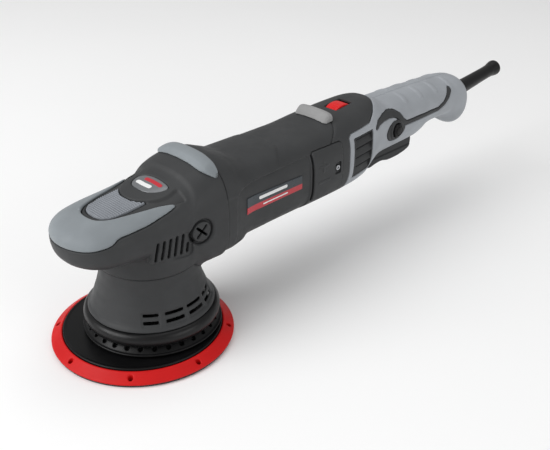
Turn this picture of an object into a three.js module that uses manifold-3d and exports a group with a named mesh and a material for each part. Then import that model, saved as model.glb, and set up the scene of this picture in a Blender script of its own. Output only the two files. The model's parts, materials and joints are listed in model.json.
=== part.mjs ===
// Dual action polisher, millimetres, +Z up.
// Origin: the spindle axis where it meets the face of the pad. +X points to the cable end of the
// handle, -X to the nose. The motor shaft lies along X, the spindle along Z.
import * as THREE from "three";
import { mergeVertices } from "three/addons/utils/BufferGeometryUtils.js";
import Module from "manifold-3d";

const wasm = await Module();
wasm.setup();

// ---------------------------------------------------------------- driving dimensions
const GAP = 0.3; // clearance between pieces that touch
const PAD_RADIUS = 62.5; // 125 mm backing pad
const ORBIT_OFFSET = 7.5; // half of the 15 mm orbit
const ORBIT_ANGLE = THREE.MathUtils.degToRad(164); // where the pad axis stands at rest
const MOTOR_Z = 82.7; // height of the motor shaft
const WALL = 2.8; // casing thickness
const SKIN = 2.6; // thickness of the soft grip over the nose
const HANDLE_SEAM_X = 166.5; // rear cap against the handle shells
const SKIRT_TOP_Z = 59.3; // top of the flared skirt, where the head's collar starts
const COLLAR_RADIUS = 34;
const GEAR_TEETH = 18;
const PINION_TEETH = 6;
const PITCH_X = 24; // pitch radius of the large gear at its outer end
const RING_POINTS = 20; // corners of each casing cross-section
const SEGMENTS = 20; // facets of a small turned piece

const PAD_X = ORBIT_OFFSET * Math.cos(ORBIT_ANGLE);
const PAD_Y = ORBIT_OFFSET * Math.sin(ORBIT_ANGLE);

// Casing cross-sections: [x, half-width, top, widest level, bottom, squareness above, below].
const HEAD = [
  [-64.8, 5, 96.8, 92, 86, 2.2, 2.2],
  [-63, 12, 98.8, 91.5, 81.5, 2.3, 2.4],
  [-59.5, 19, 100.9, 91, 78, 2.4, 2.6],
  [-53, 26, 102.8, 90, 75.8, 2.6, 2.9],
  [-44, 30.6, 104.3, 89.5, 74.8, 2.6, 3],
  [-30, 32.6, 105.8, 89, 74.5, 2.6, 3],
  [-12, 33.3, 107.6, 87, 71, 2.6, 3],
  [4, 33.8, 110.3, 85, 58, 2.6, 3],
  [14, 34.4, 112.8, 84, 53, 2.6, 3],
  [21, 35, 116.2, 83, 50.5, 2.7, 3],
  [28, 35.2, 118.4, 82.7, 49.6, 2.8, 3],
  [40.6, 35.2, 120, 82.7, 49.2, 3, 3],
];
const BODY = [
  [41, 35.2, 120, 82.7, 49.2, 3, 3],
  [50, 34.8, 118.7, 82.7, 49, 3.1, 3],
  [58, 33.4, 115.8, 82.7, 49.6, 3, 3],
  [70, 32.1, 111.8, 82.7, 53.6, 3, 3],
  [130, 32, 111.4, 82.7, 54.2, 3, 3],
  [158, 31.4, 113.4, 83.5, 54, 3, 3],
  [176, 30, 114.6, 84.5, 54, 3, 3],
  [192, 28, 116.2, 85.5, 54.5, 2.8, 2.8],
  [203, 26.3, 117, 87, 61, 2.6, 2.6],
  [211, 25, 116.4, 87, 65, 2.5, 2.4],
  [216, 24.5, 114.8, 87.6, 66.2, 2.4, 2.4],
  [221, 24.1, 111.8, 88, 66.5, 2.4, 2.4],
  [228, 23.6, 109.5, 88.2, 66.5, 2.4, 2.4],
  [264, 21.8, 109.2, 89, 66.5, 2.2, 2.3],
  [271, 21.4, 108.9, 89.4, 67.8, 2.2, 2.2],
  [278, 20.8, 108.6, 89.7, 72, 2.2, 2.2],
  [290, 20.3, 108.1, 90, 73.8, 2.2, 2.2],
  [311, 20.2, 107.4, 89, 73.4, 2.2, 2.2],
  [317, 20.5, 107, 87.5, 69.5, 2.2, 2.2],
  [323, 20.5, 106.2, 86, 63.5, 2.2, 2.2],
  [329, 20.1, 104.9, 85, 61, 2.2, 2.2],
  [334.5, 18.6, 102.4, 84.5, 62.5, 2.2, 2.2],
  [338, 16.2, 99.6, 84.5, 66.5, 2.2, 2.2],
  [340, 13.2, 97, 85, 71, 2.2, 2.2],
];

// ---------------------------------------------------------------- solids
// A geometry as a solid: only positions, shared corners merged, collapsed faces dropped.
function solid(geometry) {
  const bare = geometry.clone();
  bare.deleteAttribute("normal");
  bare.deleteAttribute("uv");
  const merged = mergeVertices(bare, 1e-4);
  const source = merged.index.array;
  const faces = [];
  for (let i = 0; i < source.length; i += 3) {
    const [a, b, c] = [source[i], source[i + 1], source[i + 2]];
    if (a !== b && b !== c && c !== a) faces.push(a, b, c);
  }
  const triVerts = new Uint32Array(faces);
  const vertProperties = new Float32Array(merged.attributes.position.array);
  const build = () => new wasm.Manifold(new wasm.Mesh({ numProp: 3, vertProperties, triVerts }));
  const made = build();
  if (made.volume() > 0) return made;
  for (let i = 0; i < triVerts.length; i += 3) {
    [triVerts[i], triVerts[i + 1]] = [triVerts[i + 1], triVerts[i]];
  }
  return build();
}

function join(first, ...rest) {
  return rest.reduce((whole, piece) => whole.add(piece), first);
}

function cut(first, ...rest) {
  return rest.reduce((whole, piece) => whole.subtract(piece), first);
}

function box(x0, x1, y0, y1, z0, z1) {
  const geometry = new THREE.BoxGeometry(x1 - x0, y1 - y0, z1 - z0);
  return solid(geometry.translate((x0 + x1) / 2, (y0 + y1) / 2, (z0 + z1) / 2));
}

// A turned piece about Z from its [radius, height] outline.
function turned(outline, segments = SEGMENTS) {
  const points = [...outline, outline[0]].map(([r, z]) => new THREE.Vector2(r, z));
  return solid(new THREE.LatheGeometry(points, segments).rotateX(Math.PI / 2));
}

function rod(radius, z0, z1, segments = SEGMENTS) {
  return turned([[0, z0], [radius, z0], [radius, z1], [0, z1]], segments);
}

function tube(inner, outer, z0, z1, segments = SEGMENTS) {
  return turned([[inner, z0], [outer, z0], [outer, z1], [inner, z1]], segments);
}

// Lays a piece made about Z along +X, at the height of the motor shaft unless told otherwise.
function alongX(piece, y = 0, z = MOTOR_Z) {
  return piece.rotate([0, 90, 0]).translate([0, y, z]);
}

// Lays a piece made about Z along -Y.
function alongY(piece, x, z) {
  return piece.rotate([90, 0, 0]).translate([x, 0, z]);
}

// A flat outline in the XZ plane, given depth from y0 to y1.
function sidePlate(outline, y0, y1) {
  const shape = new THREE.Shape(outline.map(([x, z]) => new THREE.Vector2(x, z)));
  const geometry = new THREE.ExtrudeGeometry(shape, { depth: y1 - y0, bevelEnabled: false });
  return solid(geometry.rotateX(Math.PI / 2).translate(0, y1, 0));
}

// A flat outline in the XY plane, given height from z0 to z1.
function plate(outline, z0, z1) {
  const shape = new THREE.Shape(outline.map(([x, y]) => new THREE.Vector2(x, y)));
  const geometry = new THREE.ExtrudeGeometry(shape, { depth: z1 - z0, bevelEnabled: false });
  return solid(geometry.translate(0, 0, z0));
}

// A closed skin through rings of equal length, with flat ends.
function skin(rings) {
  const count = rings[0].length;
  const positions = rings.flat().flatMap((p) => [p.x, p.y, p.z]);
  const faces = [];
  for (let row = 0; row + 1 < rings.length; row++) {
    for (let i = 0; i < count; i++) {
      const next = (i + 1) % count;
      const [a, b] = [row * count + i, row * count + next];
      faces.push(a, b, b + count, a, b + count, a + count);
    }
  }
  const last = (rings.length - 1) * count;
  for (let i = 1; i + 1 < count; i++) {
    faces.push(0, i + 1, i, last, last + i, last + i + 1);
  }
  const geometry = new THREE.BufferGeometry();
  geometry.setAttribute("position", new THREE.Float32BufferAttribute(positions, 3));
  geometry.setIndex(faces);
  return solid(geometry);
}

// A corner of a casing cross-section at the given angle, moved inwards by inset.
function sectionPoint([x, width, top, level, bottom, above, below], angle, inset) {
  const [c, s] = [Math.cos(angle), Math.sin(angle)];
  const power = 2 / (s >= 0 ? above : below);
  const height = (s >= 0 ? top - level : level - bottom) - inset;
  const y = (width - inset) * Math.sign(c) * Math.abs(c) ** power;
  return new THREE.Vector3(x, y, level + height * Math.sign(s) * Math.abs(s) ** power);
}

// A casing through its cross-sections. shift moves it along X, to thicken a closed end.
function casing(sections, inset = 0, shift = 0) {
  const step = (2 * Math.PI) / RING_POINTS;
  const rings = sections.map((section) =>
    Array.from({ length: RING_POINTS }, (_, i) => {
      const point = sectionPoint(section, i * step, inset);
      point.x += shift;
      return point;
    }));
  return skin(rings);
}

function mirrored(piece) {
  return piece.mirror([0, 1, 0]);
}

function circle(x, y, radius, segments = SEGMENTS) {
  return Array.from({ length: segments }, (_, i) => {
    const a = (2 * Math.PI * i) / segments;
    return [x + radius * Math.cos(a), y + radius * Math.sin(a)];
  });
}

// ---------------------------------------------------------------- scene helpers
const polisher = new THREE.Group();

function finish(color, roughness, metalness = 0) {
  return new THREE.MeshStandardMaterial({ color, roughness, metalness });
}

const DARK_CASE = finish(0x424346, 0.62);
const GREY_GRIP = finish(0x8f959b, 0.6);
const GREY_CASE = finish(0x9a9ea3, 0.55);
const LIGHT_GREY = finish(0xa8a9aa, 0.6);
const BLACK_PLASTIC = finish(0x1b1b1d, 0.4);
const BLACK_RUBBER = finish(0x1f1f21, 0.75);
const RED_FOAM = finish(0xd8242a, 0.55);
const RED_PLASTIC = finish(0xe0302c, 0.35);
const HOOK_FABRIC = finish(0x2a2a2c, 0.95);
const ALUMINIUM = finish(0xb9bcc0, 0.45, 0.9);
const STEEL = finish(0x9c9fa3, 0.35, 1);
const COPPER = finish(0xb87333, 0.4, 1);
const BRASS = finish(0xc9a24a, 0.35, 1);
const CARBON = finish(0x2d2d2f, 0.85);
const BOARD = finish(0x2f6b3c, 0.6);
const LABEL = finish(0xc8424a, 0.4);
const BADGE = finish(0x9b9d9f, 0.35);

function add(name, piece, material) {
  const mesh = piece.getMesh();
  const geometry = new THREE.BufferGeometry();
  geometry.setAttribute("position", new THREE.Float32BufferAttribute(mesh.vertProperties, 3));
  geometry.setIndex(Array.from(mesh.triVerts));
  geometry.computeVertexNormals();
  const part = new THREE.Mesh(geometry, material);
  part.name = name;
  polisher.add(part);
}

// ---------------------------------------------------------------- pad
const FOAM_EDGE_Z = 2.6;
const PLATE_RADIUS = 54.3;
const PLATE_TOP_Z = 8.6;
const PLATE_BOTTOM_Z = 5.3;
const HOLE_CIRCLE = 58.5;

function onPadAxis(piece) {
  return piece.translate([PAD_X, PAD_Y, 0]);
}

function addPad() {
  add("hook_face", onPadAxis(tube(4, 61.5, 0, 1.2, 32)), HOOK_FABRIC);
  const foamOutline = [
    [8.3, 1.5], [PAD_RADIUS, 1.5], [PAD_RADIUS, FOAM_EDGE_Z], [PLATE_RADIUS + 1.2, 7.8],
    [PLATE_RADIUS + GAP, 7.8], [PLATE_RADIUS + GAP, 5], [8.3, 5],
  ];
  let foam = turned(foamOutline, 32);
  for (let i = 0; i < 8; i++) {
    const a = (i * Math.PI) / 4;
    const hole = rod(1.6, 0, 12, 8);
    foam = cut(foam, hole.translate([HOLE_CIRCLE * Math.cos(a), HOLE_CIRCLE * Math.sin(a), 0]));
  }
  add("pad_foam", onPadAxis(foam), RED_FOAM);
  add("backing_plate", onPadAxis(tube(4.2, PLATE_RADIUS, PLATE_BOTTOM_Z, PLATE_TOP_Z, 32)), BLACK_PLASTIC);
  const boltOutline = [
    [0, 3.6], [2.4, 3.6], [2.4, 1.6], [7.5, 1.6], [7.5, 5], [3.9, 5], [3.9, 19.5], [0, 19.5],
  ];
  add("pad_bolt", onPadAxis(turned(boltOutline, 12)), STEEL);
  const shaftOutline = [
    [4.2, 8.9], [11, 8.9], [11, 11], [7.5, 11], [7.5, 24], [0, 24], [0, 20.5], [4.2, 20.5],
  ];
  add("pad_shaft", onPadAxis(turned(shaftOutline, 16)), STEEL);
}

// ---------------------------------------------------------------- eccentric drive
const HUB_RADIUS = 27;
const HUB_TOP_Z = 30.5;
const BEARING_BOTTOM_Z = 12.5;
const BEARING_TOP_Z = 24.5;
const BEARING_RADIUS = 17.2;
const LIP_RADIUS = 47.2;
const VENT_HOLES = 30;
const WEIGHT_RADIUS = 34.5;

function addEccentricDrive() {
  const bore = onPadAxis(rod(BEARING_RADIUS + GAP, 5, BEARING_TOP_Z + GAP));
  add("eccentric_hub", cut(rod(HUB_RADIUS, 11.6, HUB_TOP_Z), bore), ALUMINIUM);
  add("pad_bearing", onPadAxis(tube(7.8, BEARING_RADIUS, BEARING_BOTTOM_Z, BEARING_TOP_Z)), STEEL);

  // A half ring opposite the pad axis balances the pad.
  const spread = THREE.MathUtils.degToRad(75);
  const side = ORBIT_ANGLE + Math.PI;
  const outline = [];
  for (const radius of [WEIGHT_RADIUS, HUB_RADIUS + GAP]) {
    const arc = Array.from({ length: 15 }, (_, i) => {
      const a = side - spread + (2 * spread * i) / 14;
      return [radius * Math.cos(a), radius * Math.sin(a)];
    });
    outline.push(...(radius === WEIGHT_RADIUS ? arc : arc.reverse()));
  }
  add("counterweight", plate(outline, 17.5, HUB_TOP_Z), STEEL);

  const ringOutline = [
    [HUB_RADIUS + GAP, 9.7], [LIP_RADIUS, 9.7], [LIP_RADIUS, 11], [40, 16.4], [HUB_RADIUS + GAP, 12.6],
  ];
  let ring = turned(ringOutline, VENT_HOLES);
  for (let i = 0; i < VENT_HOLES; i++) {
    const hole = box(41.2, 44.2, -1.6, 1.6, 12.2, 18);
    ring = cut(ring, hole.rotate([0, 0, (360 * (i + 0.5)) / VENT_HOLES]));
  }
  add("vent_ring", ring, BLACK_PLASTIC);

  const spindleOutline = [
    [0, HUB_TOP_Z + GAP], [8.3, HUB_TOP_Z + GAP], [8.3, 60], [6.5, 60],
    [6.5, 78], [4.9, 78], [4.9, 98.5], [0, 98.5],
  ];
  add("spindle", turned(spindleOutline, 16), STEEL);
  const gearBore = [[6.8, -10.5], [6.8, -21.5], [14, -21.5], [23.5, -15]];
  add("bevel_gear", bandAround(bevelRings(GEAR_TEETH, PINION_TEETH, 0, gearBore)), STEEL);
}

// ---------------------------------------------------------------- bevel gears
// Rings of corners of a toothed cone about Z, its apex at the crossing of the two shafts and its
// teeth towards +Z. Both ends of a tooth lie on lines through the apex. phase turns the cone, in
// tooth pitches, and body lists the plain rings behind the teeth as [radius, height from apex].
function bevelRings(teeth, mateTeeth, phase, body) {
  const cone = Math.atan2(teeth, mateTeeth);
  const pitchRadius = PITCH_X * Math.min(1, teeth / mateTeeth);
  const pitchDrop = pitchRadius / Math.tan(cone);
  const [addendum, dedendum] = [1.5, 1.9];
  const innerEnd = 0.68;
  const profile = [[-0.26, -dedendum], [-0.11, addendum], [0.11, addendum], [0.26, -dedendum]];
  const ring = (place) => {
    const points = [];
    for (let tooth = 0; tooth < teeth; tooth++) {
      for (const [along, lift] of profile) {
        const a = ((tooth + along + phase) * 2 * Math.PI) / teeth;
        const [radius, height] = place(lift);
        points.push(new THREE.Vector3(radius * Math.cos(a), radius * Math.sin(a), height));
      }
    }
    return points;
  };
  const toothEnd = (scale) => (lift) => [
    (pitchRadius + lift * Math.cos(cone)) * scale,
    (-pitchDrop + lift * Math.sin(cone)) * scale,
  ];
  return [ring(toothEnd(1)), ring(toothEnd(innerEnd)), ...body.map((corner) => ring(() => corner))];
}

// A closed ring-shaped skin: the last ring of corners joins back to the first.
function bandAround(rings) {
  const count = rings[0].length;
  const positions = rings.flat().flatMap((p) => [p.x, p.y, p.z]);
  const faces = [];
  for (let row = 0; row < rings.length; row++) {
    const after = ((row + 1) % rings.length) * count;
    for (let i = 0; i < count; i++) {
      const next = (i + 1) % count;
      faces.push(row * count + i, row * count + next, after + next);
      faces.push(row * count + i, after + next, after + i);
    }
  }
  const geometry = new THREE.BufferGeometry();
  geometry.setAttribute("position", new THREE.Float32BufferAttribute(positions, 3));
  geometry.setIndex(faces);
  return solid(geometry).translate([0, 0, MOTOR_Z]);
}

// ---------------------------------------------------------------- gear case and its bearings
function addGearCase() {
  const caseOutline = [[0, 33.5], [29.5, 33.5], [29.5, 84], [16, 100.8], [0, 100.8]];
  const motorTube = alongX(rod(23, 12, 38));
  const chamber = turned([[0, 58], [26.5, 58], [26.5, 80], [20, 91], [0, 91]]);
  const lowerSeat = rod(20, 30, 47.3);
  const spindleHole = rod(12, 40, 60, 16);
  const upperSeat = rod(11.3, 85, 99.3, 24);
  const frontSeat = alongX(rod(14.3, 28.7, 45, 24));
  const pinionHole = alongX(rod(12, 10, 30, 24));
  const hollow = [chamber, lowerSeat, spindleHole, upperSeat, frontSeat, pinionHole];
  add("gear_case", cut(join(turned(caseOutline), motorTube), ...hollow), ALUMINIUM);
  add("lower_spindle_bearing", tube(8.6, 19.7, 35, 47, 24), STEEL);
  add("upper_spindle_bearing", tube(5.2, 11, 91.5, 98.8, 20), STEEL);
  add("front_armature_bearing", alongX(tube(4.3, 14, 29, 37, 20)), STEEL);
}

// ---------------------------------------------------------------- armature
function addArmature() {
  add("armature_shaft", alongX(rod(4, 28.6, 157, 16)), STEEL);
  const pinionBack = [[3.4, -15.4], [0, -15.4], [0, -28.3], [5.2, -28.3], [5.2, -25.6]];
  const pinion = bandAround(bevelRings(PINION_TEETH, GEAR_TEETH, 0.5, pinionBack));
  const turnedOver = pinion.translate([0, 0, -MOTOR_Z]).rotate([0, -90, 0]);
  add("bevel_pinion", turnedOver.translate([0, 0, MOTOR_Z]), STEEL);
  let fan = join(tube(4.3, 25, 43, 44.6), tube(4.3, 9, 43, 51));
  for (let i = 0; i < 8; i++) {
    fan = join(fan, box(8, 24, -0.7, 0.7, 44, 51).rotate([0, 0, 45 * i]));
  }
  add("cooling_fan", alongX(fan), BLACK_PLASTIC);
  add("armature_core", alongX(tube(4.3, 16, 62, 114, 24)), STEEL);
  add("commutator", alongX(tube(4.3, 11, 125, 143, 20)), COPPER);
}

// ---------------------------------------------------------------- motor casing and stator
const COVER_X = [126, 157];
const COVER_Z = [64, 102];
const COVER_SCREW = { x: 151.7, z: 83.6 };
const BRUSH_X = 134;

function sideWindow(x0, x1, z0, z1, depth = 20) {
  return join(box(x0, x1, -45, -depth, z0, z1), box(x0, x1, depth, 45, z0, z1));
}

// The motor casing ends here, seen from the side: the seam leans back over the top.
function motorRegion(grow) {
  return sidePlate([[30, 30], [145, 30], [145, 101], [162, 113], [168, 130], [30, 130]], -60, 60)
    .translate([grow, 0, 0]);
}

function coverPocket() {
  const window = sideWindow(COVER_X[0] - GAP, COVER_X[1] + GAP, COVER_Z[0] - GAP, COVER_Z[1] + GAP);
  return cut(window, casing(BODY, 1.6));
}

function addMotor() {
  const shell = cut(casing(BODY), casing(BODY, WALL, -1)).intersect(motorRegion(0));
  const brushWindow = sideWindow(127.5, 142, 75, 90);
  add("motor_casing", cut(shell, coverPocket(), brushWindow), DARK_CASE);
  add("stator", alongX(tube(16.7, 25.3, 62, 114)), STEEL);
  add("fan_baffle", alongX(tube(17, 25.3, 55, 57)), BLACK_PLASTIC);
  const label = [[60, 78.6], [114.3, 79.2], [114.3, 89.6], [60.3, 90.6]];
  add("side_label", cut(sidePlate(label, -33.4, -30), casing(BODY, -GAP)), LABEL);

  const placed = [["left", (piece) => piece], ["right", mirrored]];
  for (const [side, place] of placed) {
    const slab = box(COVER_X[0], COVER_X[1], -33, -20, COVER_Z[0], COVER_Z[1]);
    const screwHole = alongY(rod(2.3, 20, 40, 12), COVER_SCREW.x, COVER_SCREW.z);
    const cover = cut(slab.intersect(casing(BODY, -1.2)), casing(BODY, 1.3), screwHole);
    add(`brush_cover_${side}`, place(cover), DARK_CASE);
    const screw = alongY(rod(2, 27, 32.8, 12), COVER_SCREW.x, COVER_SCREW.z);
    add(`brush_cover_screw_${side}`, place(screw), STEEL);
    const holder = cut(
      box(BRUSH_X - 6, BRUSH_X + 6, -27, -13, MOTOR_Z - 5.5, MOTOR_Z + 5.5),
      box(BRUSH_X - 4.3, BRUSH_X + 4.3, -30, -10, MOTOR_Z - 3.5, MOTOR_Z + 3.5),
    );
    add(`brush_holder_${side}`, place(holder), BRASS);
    const brush = box(BRUSH_X - 4, BRUSH_X + 4, -20, -11.3, MOTOR_Z - 3.2, MOTOR_Z + 3.2);
    add(`carbon_brush_${side}`, place(brush), CARBON);
    add(`brush_spring_${side}`, place(brushSpring()), STEEL);
  }
}

// A coil of three turns along -Y behind the brush.
function brushSpring() {
  const turns = 3;
  const [radius, start, length] = [2.3, 21, 5.5];
  const points = Array.from({ length: turns * 8 + 1 }, (_, i) => {
    const a = (i * Math.PI) / 4;
    const y = -start - (length * i) / (turns * 8);
    return new THREE.Vector3(BRUSH_X + radius * Math.cos(a), y, MOTOR_Z + radius * Math.sin(a));
  });
  const wire = new THREE.Shape(circle(0, 0, 0.35, 4).map(([x, y]) => new THREE.Vector2(x, y)));
  const extrudePath = new THREE.CatmullRomCurve3(points);
  return solid(new THREE.ExtrudeGeometry(wire, { extrudePath, steps: turns * 8 }));
}

// ---------------------------------------------------------------- head
// Everything above the seam between the soft grip and the dark cover, seen from the side.
const GRIP_SEAM = [
  [-70, 92.2], [-58, 92.6], [-45, 95.4], [-40, 98.1], [-17, 99.2], [-1, 101.5], [9, 104], [13, 130],
  [-70, 130],
];
// The dark island on top that the grip runs around, seen from above.
const ISLAND = [
  [40, -32], [9, -26.5], [-6, -21.5], [-24, -17.5], [-36, -14], [-41.5, -9.5], [-43.5, -4],
  [-43.5, 4], [-41.5, 9.5], [-36, 14], [-24, 17.5], [-6, 21.5], [9, 26.5], [40, 32],
];
const ISLAND_DEPTH = 1.5; // how far the island lies below the grip
const COLLAR_X = 5; // centre of the raised collar around the badge

function insertOutline(grow) {
  const front = [[-24, 14.2], [-34, 12.4], [-38.5, 8.5], [-40, 3]];
  const near = front.map(([x, y]) => [x - grow, y + grow]);
  const far = near.map(([x, y]) => [x, -y]).reverse();
  const radius = 19.5 - grow;
  const arc = [-44, -22, 0, 22, 44].map((degrees) => {
    const a = THREE.MathUtils.degToRad(degrees);
    return [COLLAR_X - radius * Math.cos(a), radius * Math.sin(a)];
  });
  const tip = [-8 + grow, 14.2 + grow];
  return [...near, ...far, [tip[0], -tip[1]], ...arc, tip];
}

function badgeOutline(grow) {
  return circle(0, 0, 1, 24).map(([x, y]) => [COLLAR_X + x * (8 + grow), y * (13.5 + grow)]);
}

// One of the slanted cooling slots, on both sides of the head.
function headSlot(i) {
  const foot = [-17.6 + 5 * i, 75.2 - 0.55 * i];
  const tip = [-15 + 4.95 * i, 86 - 0.25 * i];
  const corners = [
    [foot[0] - 1, foot[1]], [foot[0] + 1, foot[1]], [tip[0] + 1, tip[1]], [tip[0] - 1, tip[1]],
  ];
  return join(sidePlate(corners, -45, -26), sidePlate(corners, 26, 45));
}

// The flat field on each side of the head that the slots are cut in.
function ventField() {
  const corners = [[-22, 74.3], [-18, 87.1], [8.5, 87], [11, 72.5], [9, 69]];
  const wall = sidePlate(corners, -32.4, -26);
  return join(wall, mirrored(wall));
}

function addHead() {
  const outer = casing(HEAD);
  const seam = (drop) => sidePlate(GRIP_SEAM.map(([x, z]) => [x + drop, z - drop]), -50, 50);
  const island = (grow) => plate(ISLAND.map(([x, y]) => [x - grow, y + Math.sign(y) * grow]), 50, 140);
  const sunk = cut(island(0).intersect(box(-60, 12, -40, 40, 90, 140)), casing(HEAD, ISLAND_DEPTH));
  const gripZone = cut(seam(0), island(0));
  add("front_grip", cut(outer.intersect(gripZone), casing(HEAD, SKIN, SKIN)), GREY_GRIP);

  const wallInset = SKIN + GAP;
  const gripPocket = cut(seam(GAP), island(-GAP), casing(HEAD, wallInset, wallInset));
  const insert = cut(casing(HEAD, 0.9).intersect(plate(insertOutline(0), 90, 140)), casing(HEAD, 2.6));
  const insertPocket = cut(plate(insertOutline(GAP), 90, 140), casing(HEAD, 2.6 + GAP));
  const badgePocket = cut(plate(badgeOutline(GAP), 90, 140), casing(HEAD, 1.2 + GAP));
  add("grip_insert", insert, GREY_GRIP);
  add("head_badge", cut(outer.intersect(plate(badgeOutline(0), 90, 140)), casing(HEAD, 1.2)), BADGE);

  const collar = rod(COLLAR_RADIUS, SKIRT_TOP_Z + GAP, 80, 32);
  const hollow = casing(HEAD.filter((_, i) => i % 2 === 1), 5.2, 5.2);
  const neckHole = rod(30.2, 30, 86);
  const skirtRoom = rod(COLLAR_RADIUS + GAP, 30, SKIRT_TOP_Z + GAP, 32);
  const ventSlots = [0, 1, 2, 3, 4].map(headSlot);
  const ring = outer.intersect(rod(19.2, 90, 140, 32).translate([COLLAR_X, 0, 0]));
  const top = join(cut(outer, sunk), ring);
  const whole = join(top, collar, ventField());
  const cover = cut(whole, gripPocket, insertPocket, badgePocket, hollow, neckHole, skirtRoom);
  add("head_cover", cut(cover, ...ventSlots), DARK_CASE);
}

// ---------------------------------------------------------------- skirt
const SKIRT_BOTTOM_Z = 25.5;
const SKIRT_PROFILE = [
  [43, SKIRT_BOTTOM_Z], [41.8, 27.6], [40.2, 30.5], [37.2, 38], [35, 45], [33.6, 51], [33.2, SKIRT_TOP_Z],
];
const SLOTS = [[127.5, 10], [103.5, 12.8], [78.5, 13.2], [53.5, 12.8]]; // angle and width
const SLOT_LEVELS = [30, 34.4];

function addSkirt() {
  const wall = 2.2;
  const inside = SKIRT_PROFILE.filter((_, i) => i % 2 === 0).reverse().map(([r, z]) => [r - wall, z]);
  let skirt = turned([...SKIRT_PROFILE, ...inside], 32);
  for (const [angle, width] of SLOTS) {
    for (const z of SLOT_LEVELS) {
      const slot = box(32, 46, -width / 2, width / 2, z, z + 1.6);
      skirt = cut(skirt, slot.rotate([0, 0, angle]), slot.rotate([0, 0, -angle]));
    }
  }
  add("skirt", skirt, DARK_CASE);
  const rollTop = SKIRT_BOTTOM_Z - GAP;
  const roll = [
    [41.5, 17.2], [43.4, 15.8], [45.4, 16.6], [46.4, 18.8], [46.4, 21.4], [45, 24], [43, rollTop],
    [41.5, rollTop],
  ];
  add("skirt_ring", turned(roll, 32), BLACK_RUBBER);
}

// ---------------------------------------------------------------- bumpers
const FRONT_BUMPER = [
  [28, 34.8, 119.4, 82.7, 49, 2.8, 3],
  [30, 36, 122.2, 82.7, 49, 2.8, 3],
  [33, 37, 124.2, 82.7, 49, 2.8, 3],
  [37, 37.4, 124.8, 82.7, 49, 2.8, 3],
  [40.6, 37.4, 124.6, 82.7, 49, 2.8, 3],
];
// Seen from the front: its two ends slant in towards the top.
const FRONT_BUMPER_ENDS = [[-30.6, 111.8], [30.6, 111.8], [12.3, 134], [-12.3, 134]];
const REAR_BUMPER = [
  [153, 31, 113, 83.5, 54, 3, 3],
  [155.5, 32.5, 117, 83.5, 54, 3, 3],
  [159, 33, 119.4, 83.5, 54, 3, 3],
  [163, 32.5, 119, 83.5, 54, 3, 3],
];

function addBumpers() {
  const frontBand = sidePlate(FRONT_BUMPER_ENDS, 20, 45).rotate([0, 0, 90]).translate([65, 0, 0]);
  add("front_bumper", cut(casing(FRONT_BUMPER), casing(HEAD, -GAP)).intersect(frontBand), GREY_GRIP);
  const rearBand = box(150, 170, -15, 15, 105, 140);
  add("rear_bumper", cut(casing(REAR_BUMPER), casing(BODY, -GAP)).intersect(rearBand), LIGHT_GREY);
}

// ---------------------------------------------------------------- rear cap and speed dial
const DIAL = { x: 185.5, z: 100.4, radius: 16, width: 11 };

// The space of the dark cap: everything before the handle seam, and above it a tongue that
// ends in a half circle.
function capRegion(grow) {
  const low = -grow;
  const side = [
    [140, 40], [HANDLE_SEAM_X + grow, 40], [HANDLE_SEAM_X + grow, 101 + low], [170 + grow, 103.4 + low],
    [193, 104.4 + low], [230, 105 + low], [230, 150], [140, 150],
  ];
  const near = [[140, 50], [186, 50], [193, 24.3], [202.2, 20.7], [209.5, 13.8], [214.3, 6.8]]
    .map(([x, y]) => [x + grow, y + grow]);
  const far = near.map(([x, y]) => [x, -y]).reverse();
  const plan = [...near, [216 + grow, 0], ...far];
  return sidePlate(side, -60, 60).intersect(plate(plan, 30, 160));
}

function addRearCap() {
  const shell = cut(casing(BODY), casing(BODY, WALL, 1)).intersect(capRegion(0));
  const half = DIAL.width / 2 + 0.8;
  const dialWindow = join(
    box(DIAL.x - 9.2, DIAL.x + 9.2, -half, half, 100, 130),
    alongY(rod(DIAL.radius + 0.7, -half, half), DIAL.x, DIAL.z),
  );
  const bulkhead = alongX(tube(8, 30, 149, 158)).intersect(casing(BODY, 1));
  const bearingSeat = alongX(rod(11.3, 140, 156.3, 24));
  const shaftHole = alongX(rod(8, 140, 170, 16));
  const screwBore = alongY(rod(2.3, -40, 40, 12), COVER_SCREW.x, COVER_SCREW.z);
  const openings = [dialWindow, bearingSeat, shaftHole, coverPocket(), screwBore, motorRegion(GAP)];
  for (const angle of [45, 135, 225, 315]) {
    openings.push(alongX(rod(5, 140, 165, 10).translate([20, 0, 0]).rotate([0, 0, angle])));
  }
  add("rear_cap", cut(join(shell, bulkhead), ...openings), DARK_CASE);
  add("rear_armature_bearing", alongX(tube(4.3, 11, 149.3, 156, 20)), STEEL);

  const wheel = tube(1.8, DIAL.radius, -DIAL.width / 2, DIAL.width / 2, 32);
  add("speed_dial", alongY(wheel, DIAL.x, DIAL.z), RED_PLASTIC);
  const board = box(172, 202, -1, 1, 66, 82.6);
  const ledge = box(DIAL.x - 8, DIAL.x + 8, -0.5, 12, 78, 80);
  const sensor = box(DIAL.x - 6, DIAL.x + 6, 7, 12, 79, 105);
  const spigot = alongY(rod(1.5, -8, 6.5, 12), DIAL.x, DIAL.z);
  add("speed_board", join(board, ledge, sensor, spigot), BOARD);
}

// ---------------------------------------------------------------- handle, trigger and lock button
const GRILLE = [[172.5, 67], [197, 67.4], [197, 98.6], [172.5, 98.8]];
const LOUVRES = 4;
const LOCK = { x: 230, z: 88 };
const TRIGGER_PIN = { x: 209, z: 70 };

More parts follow.
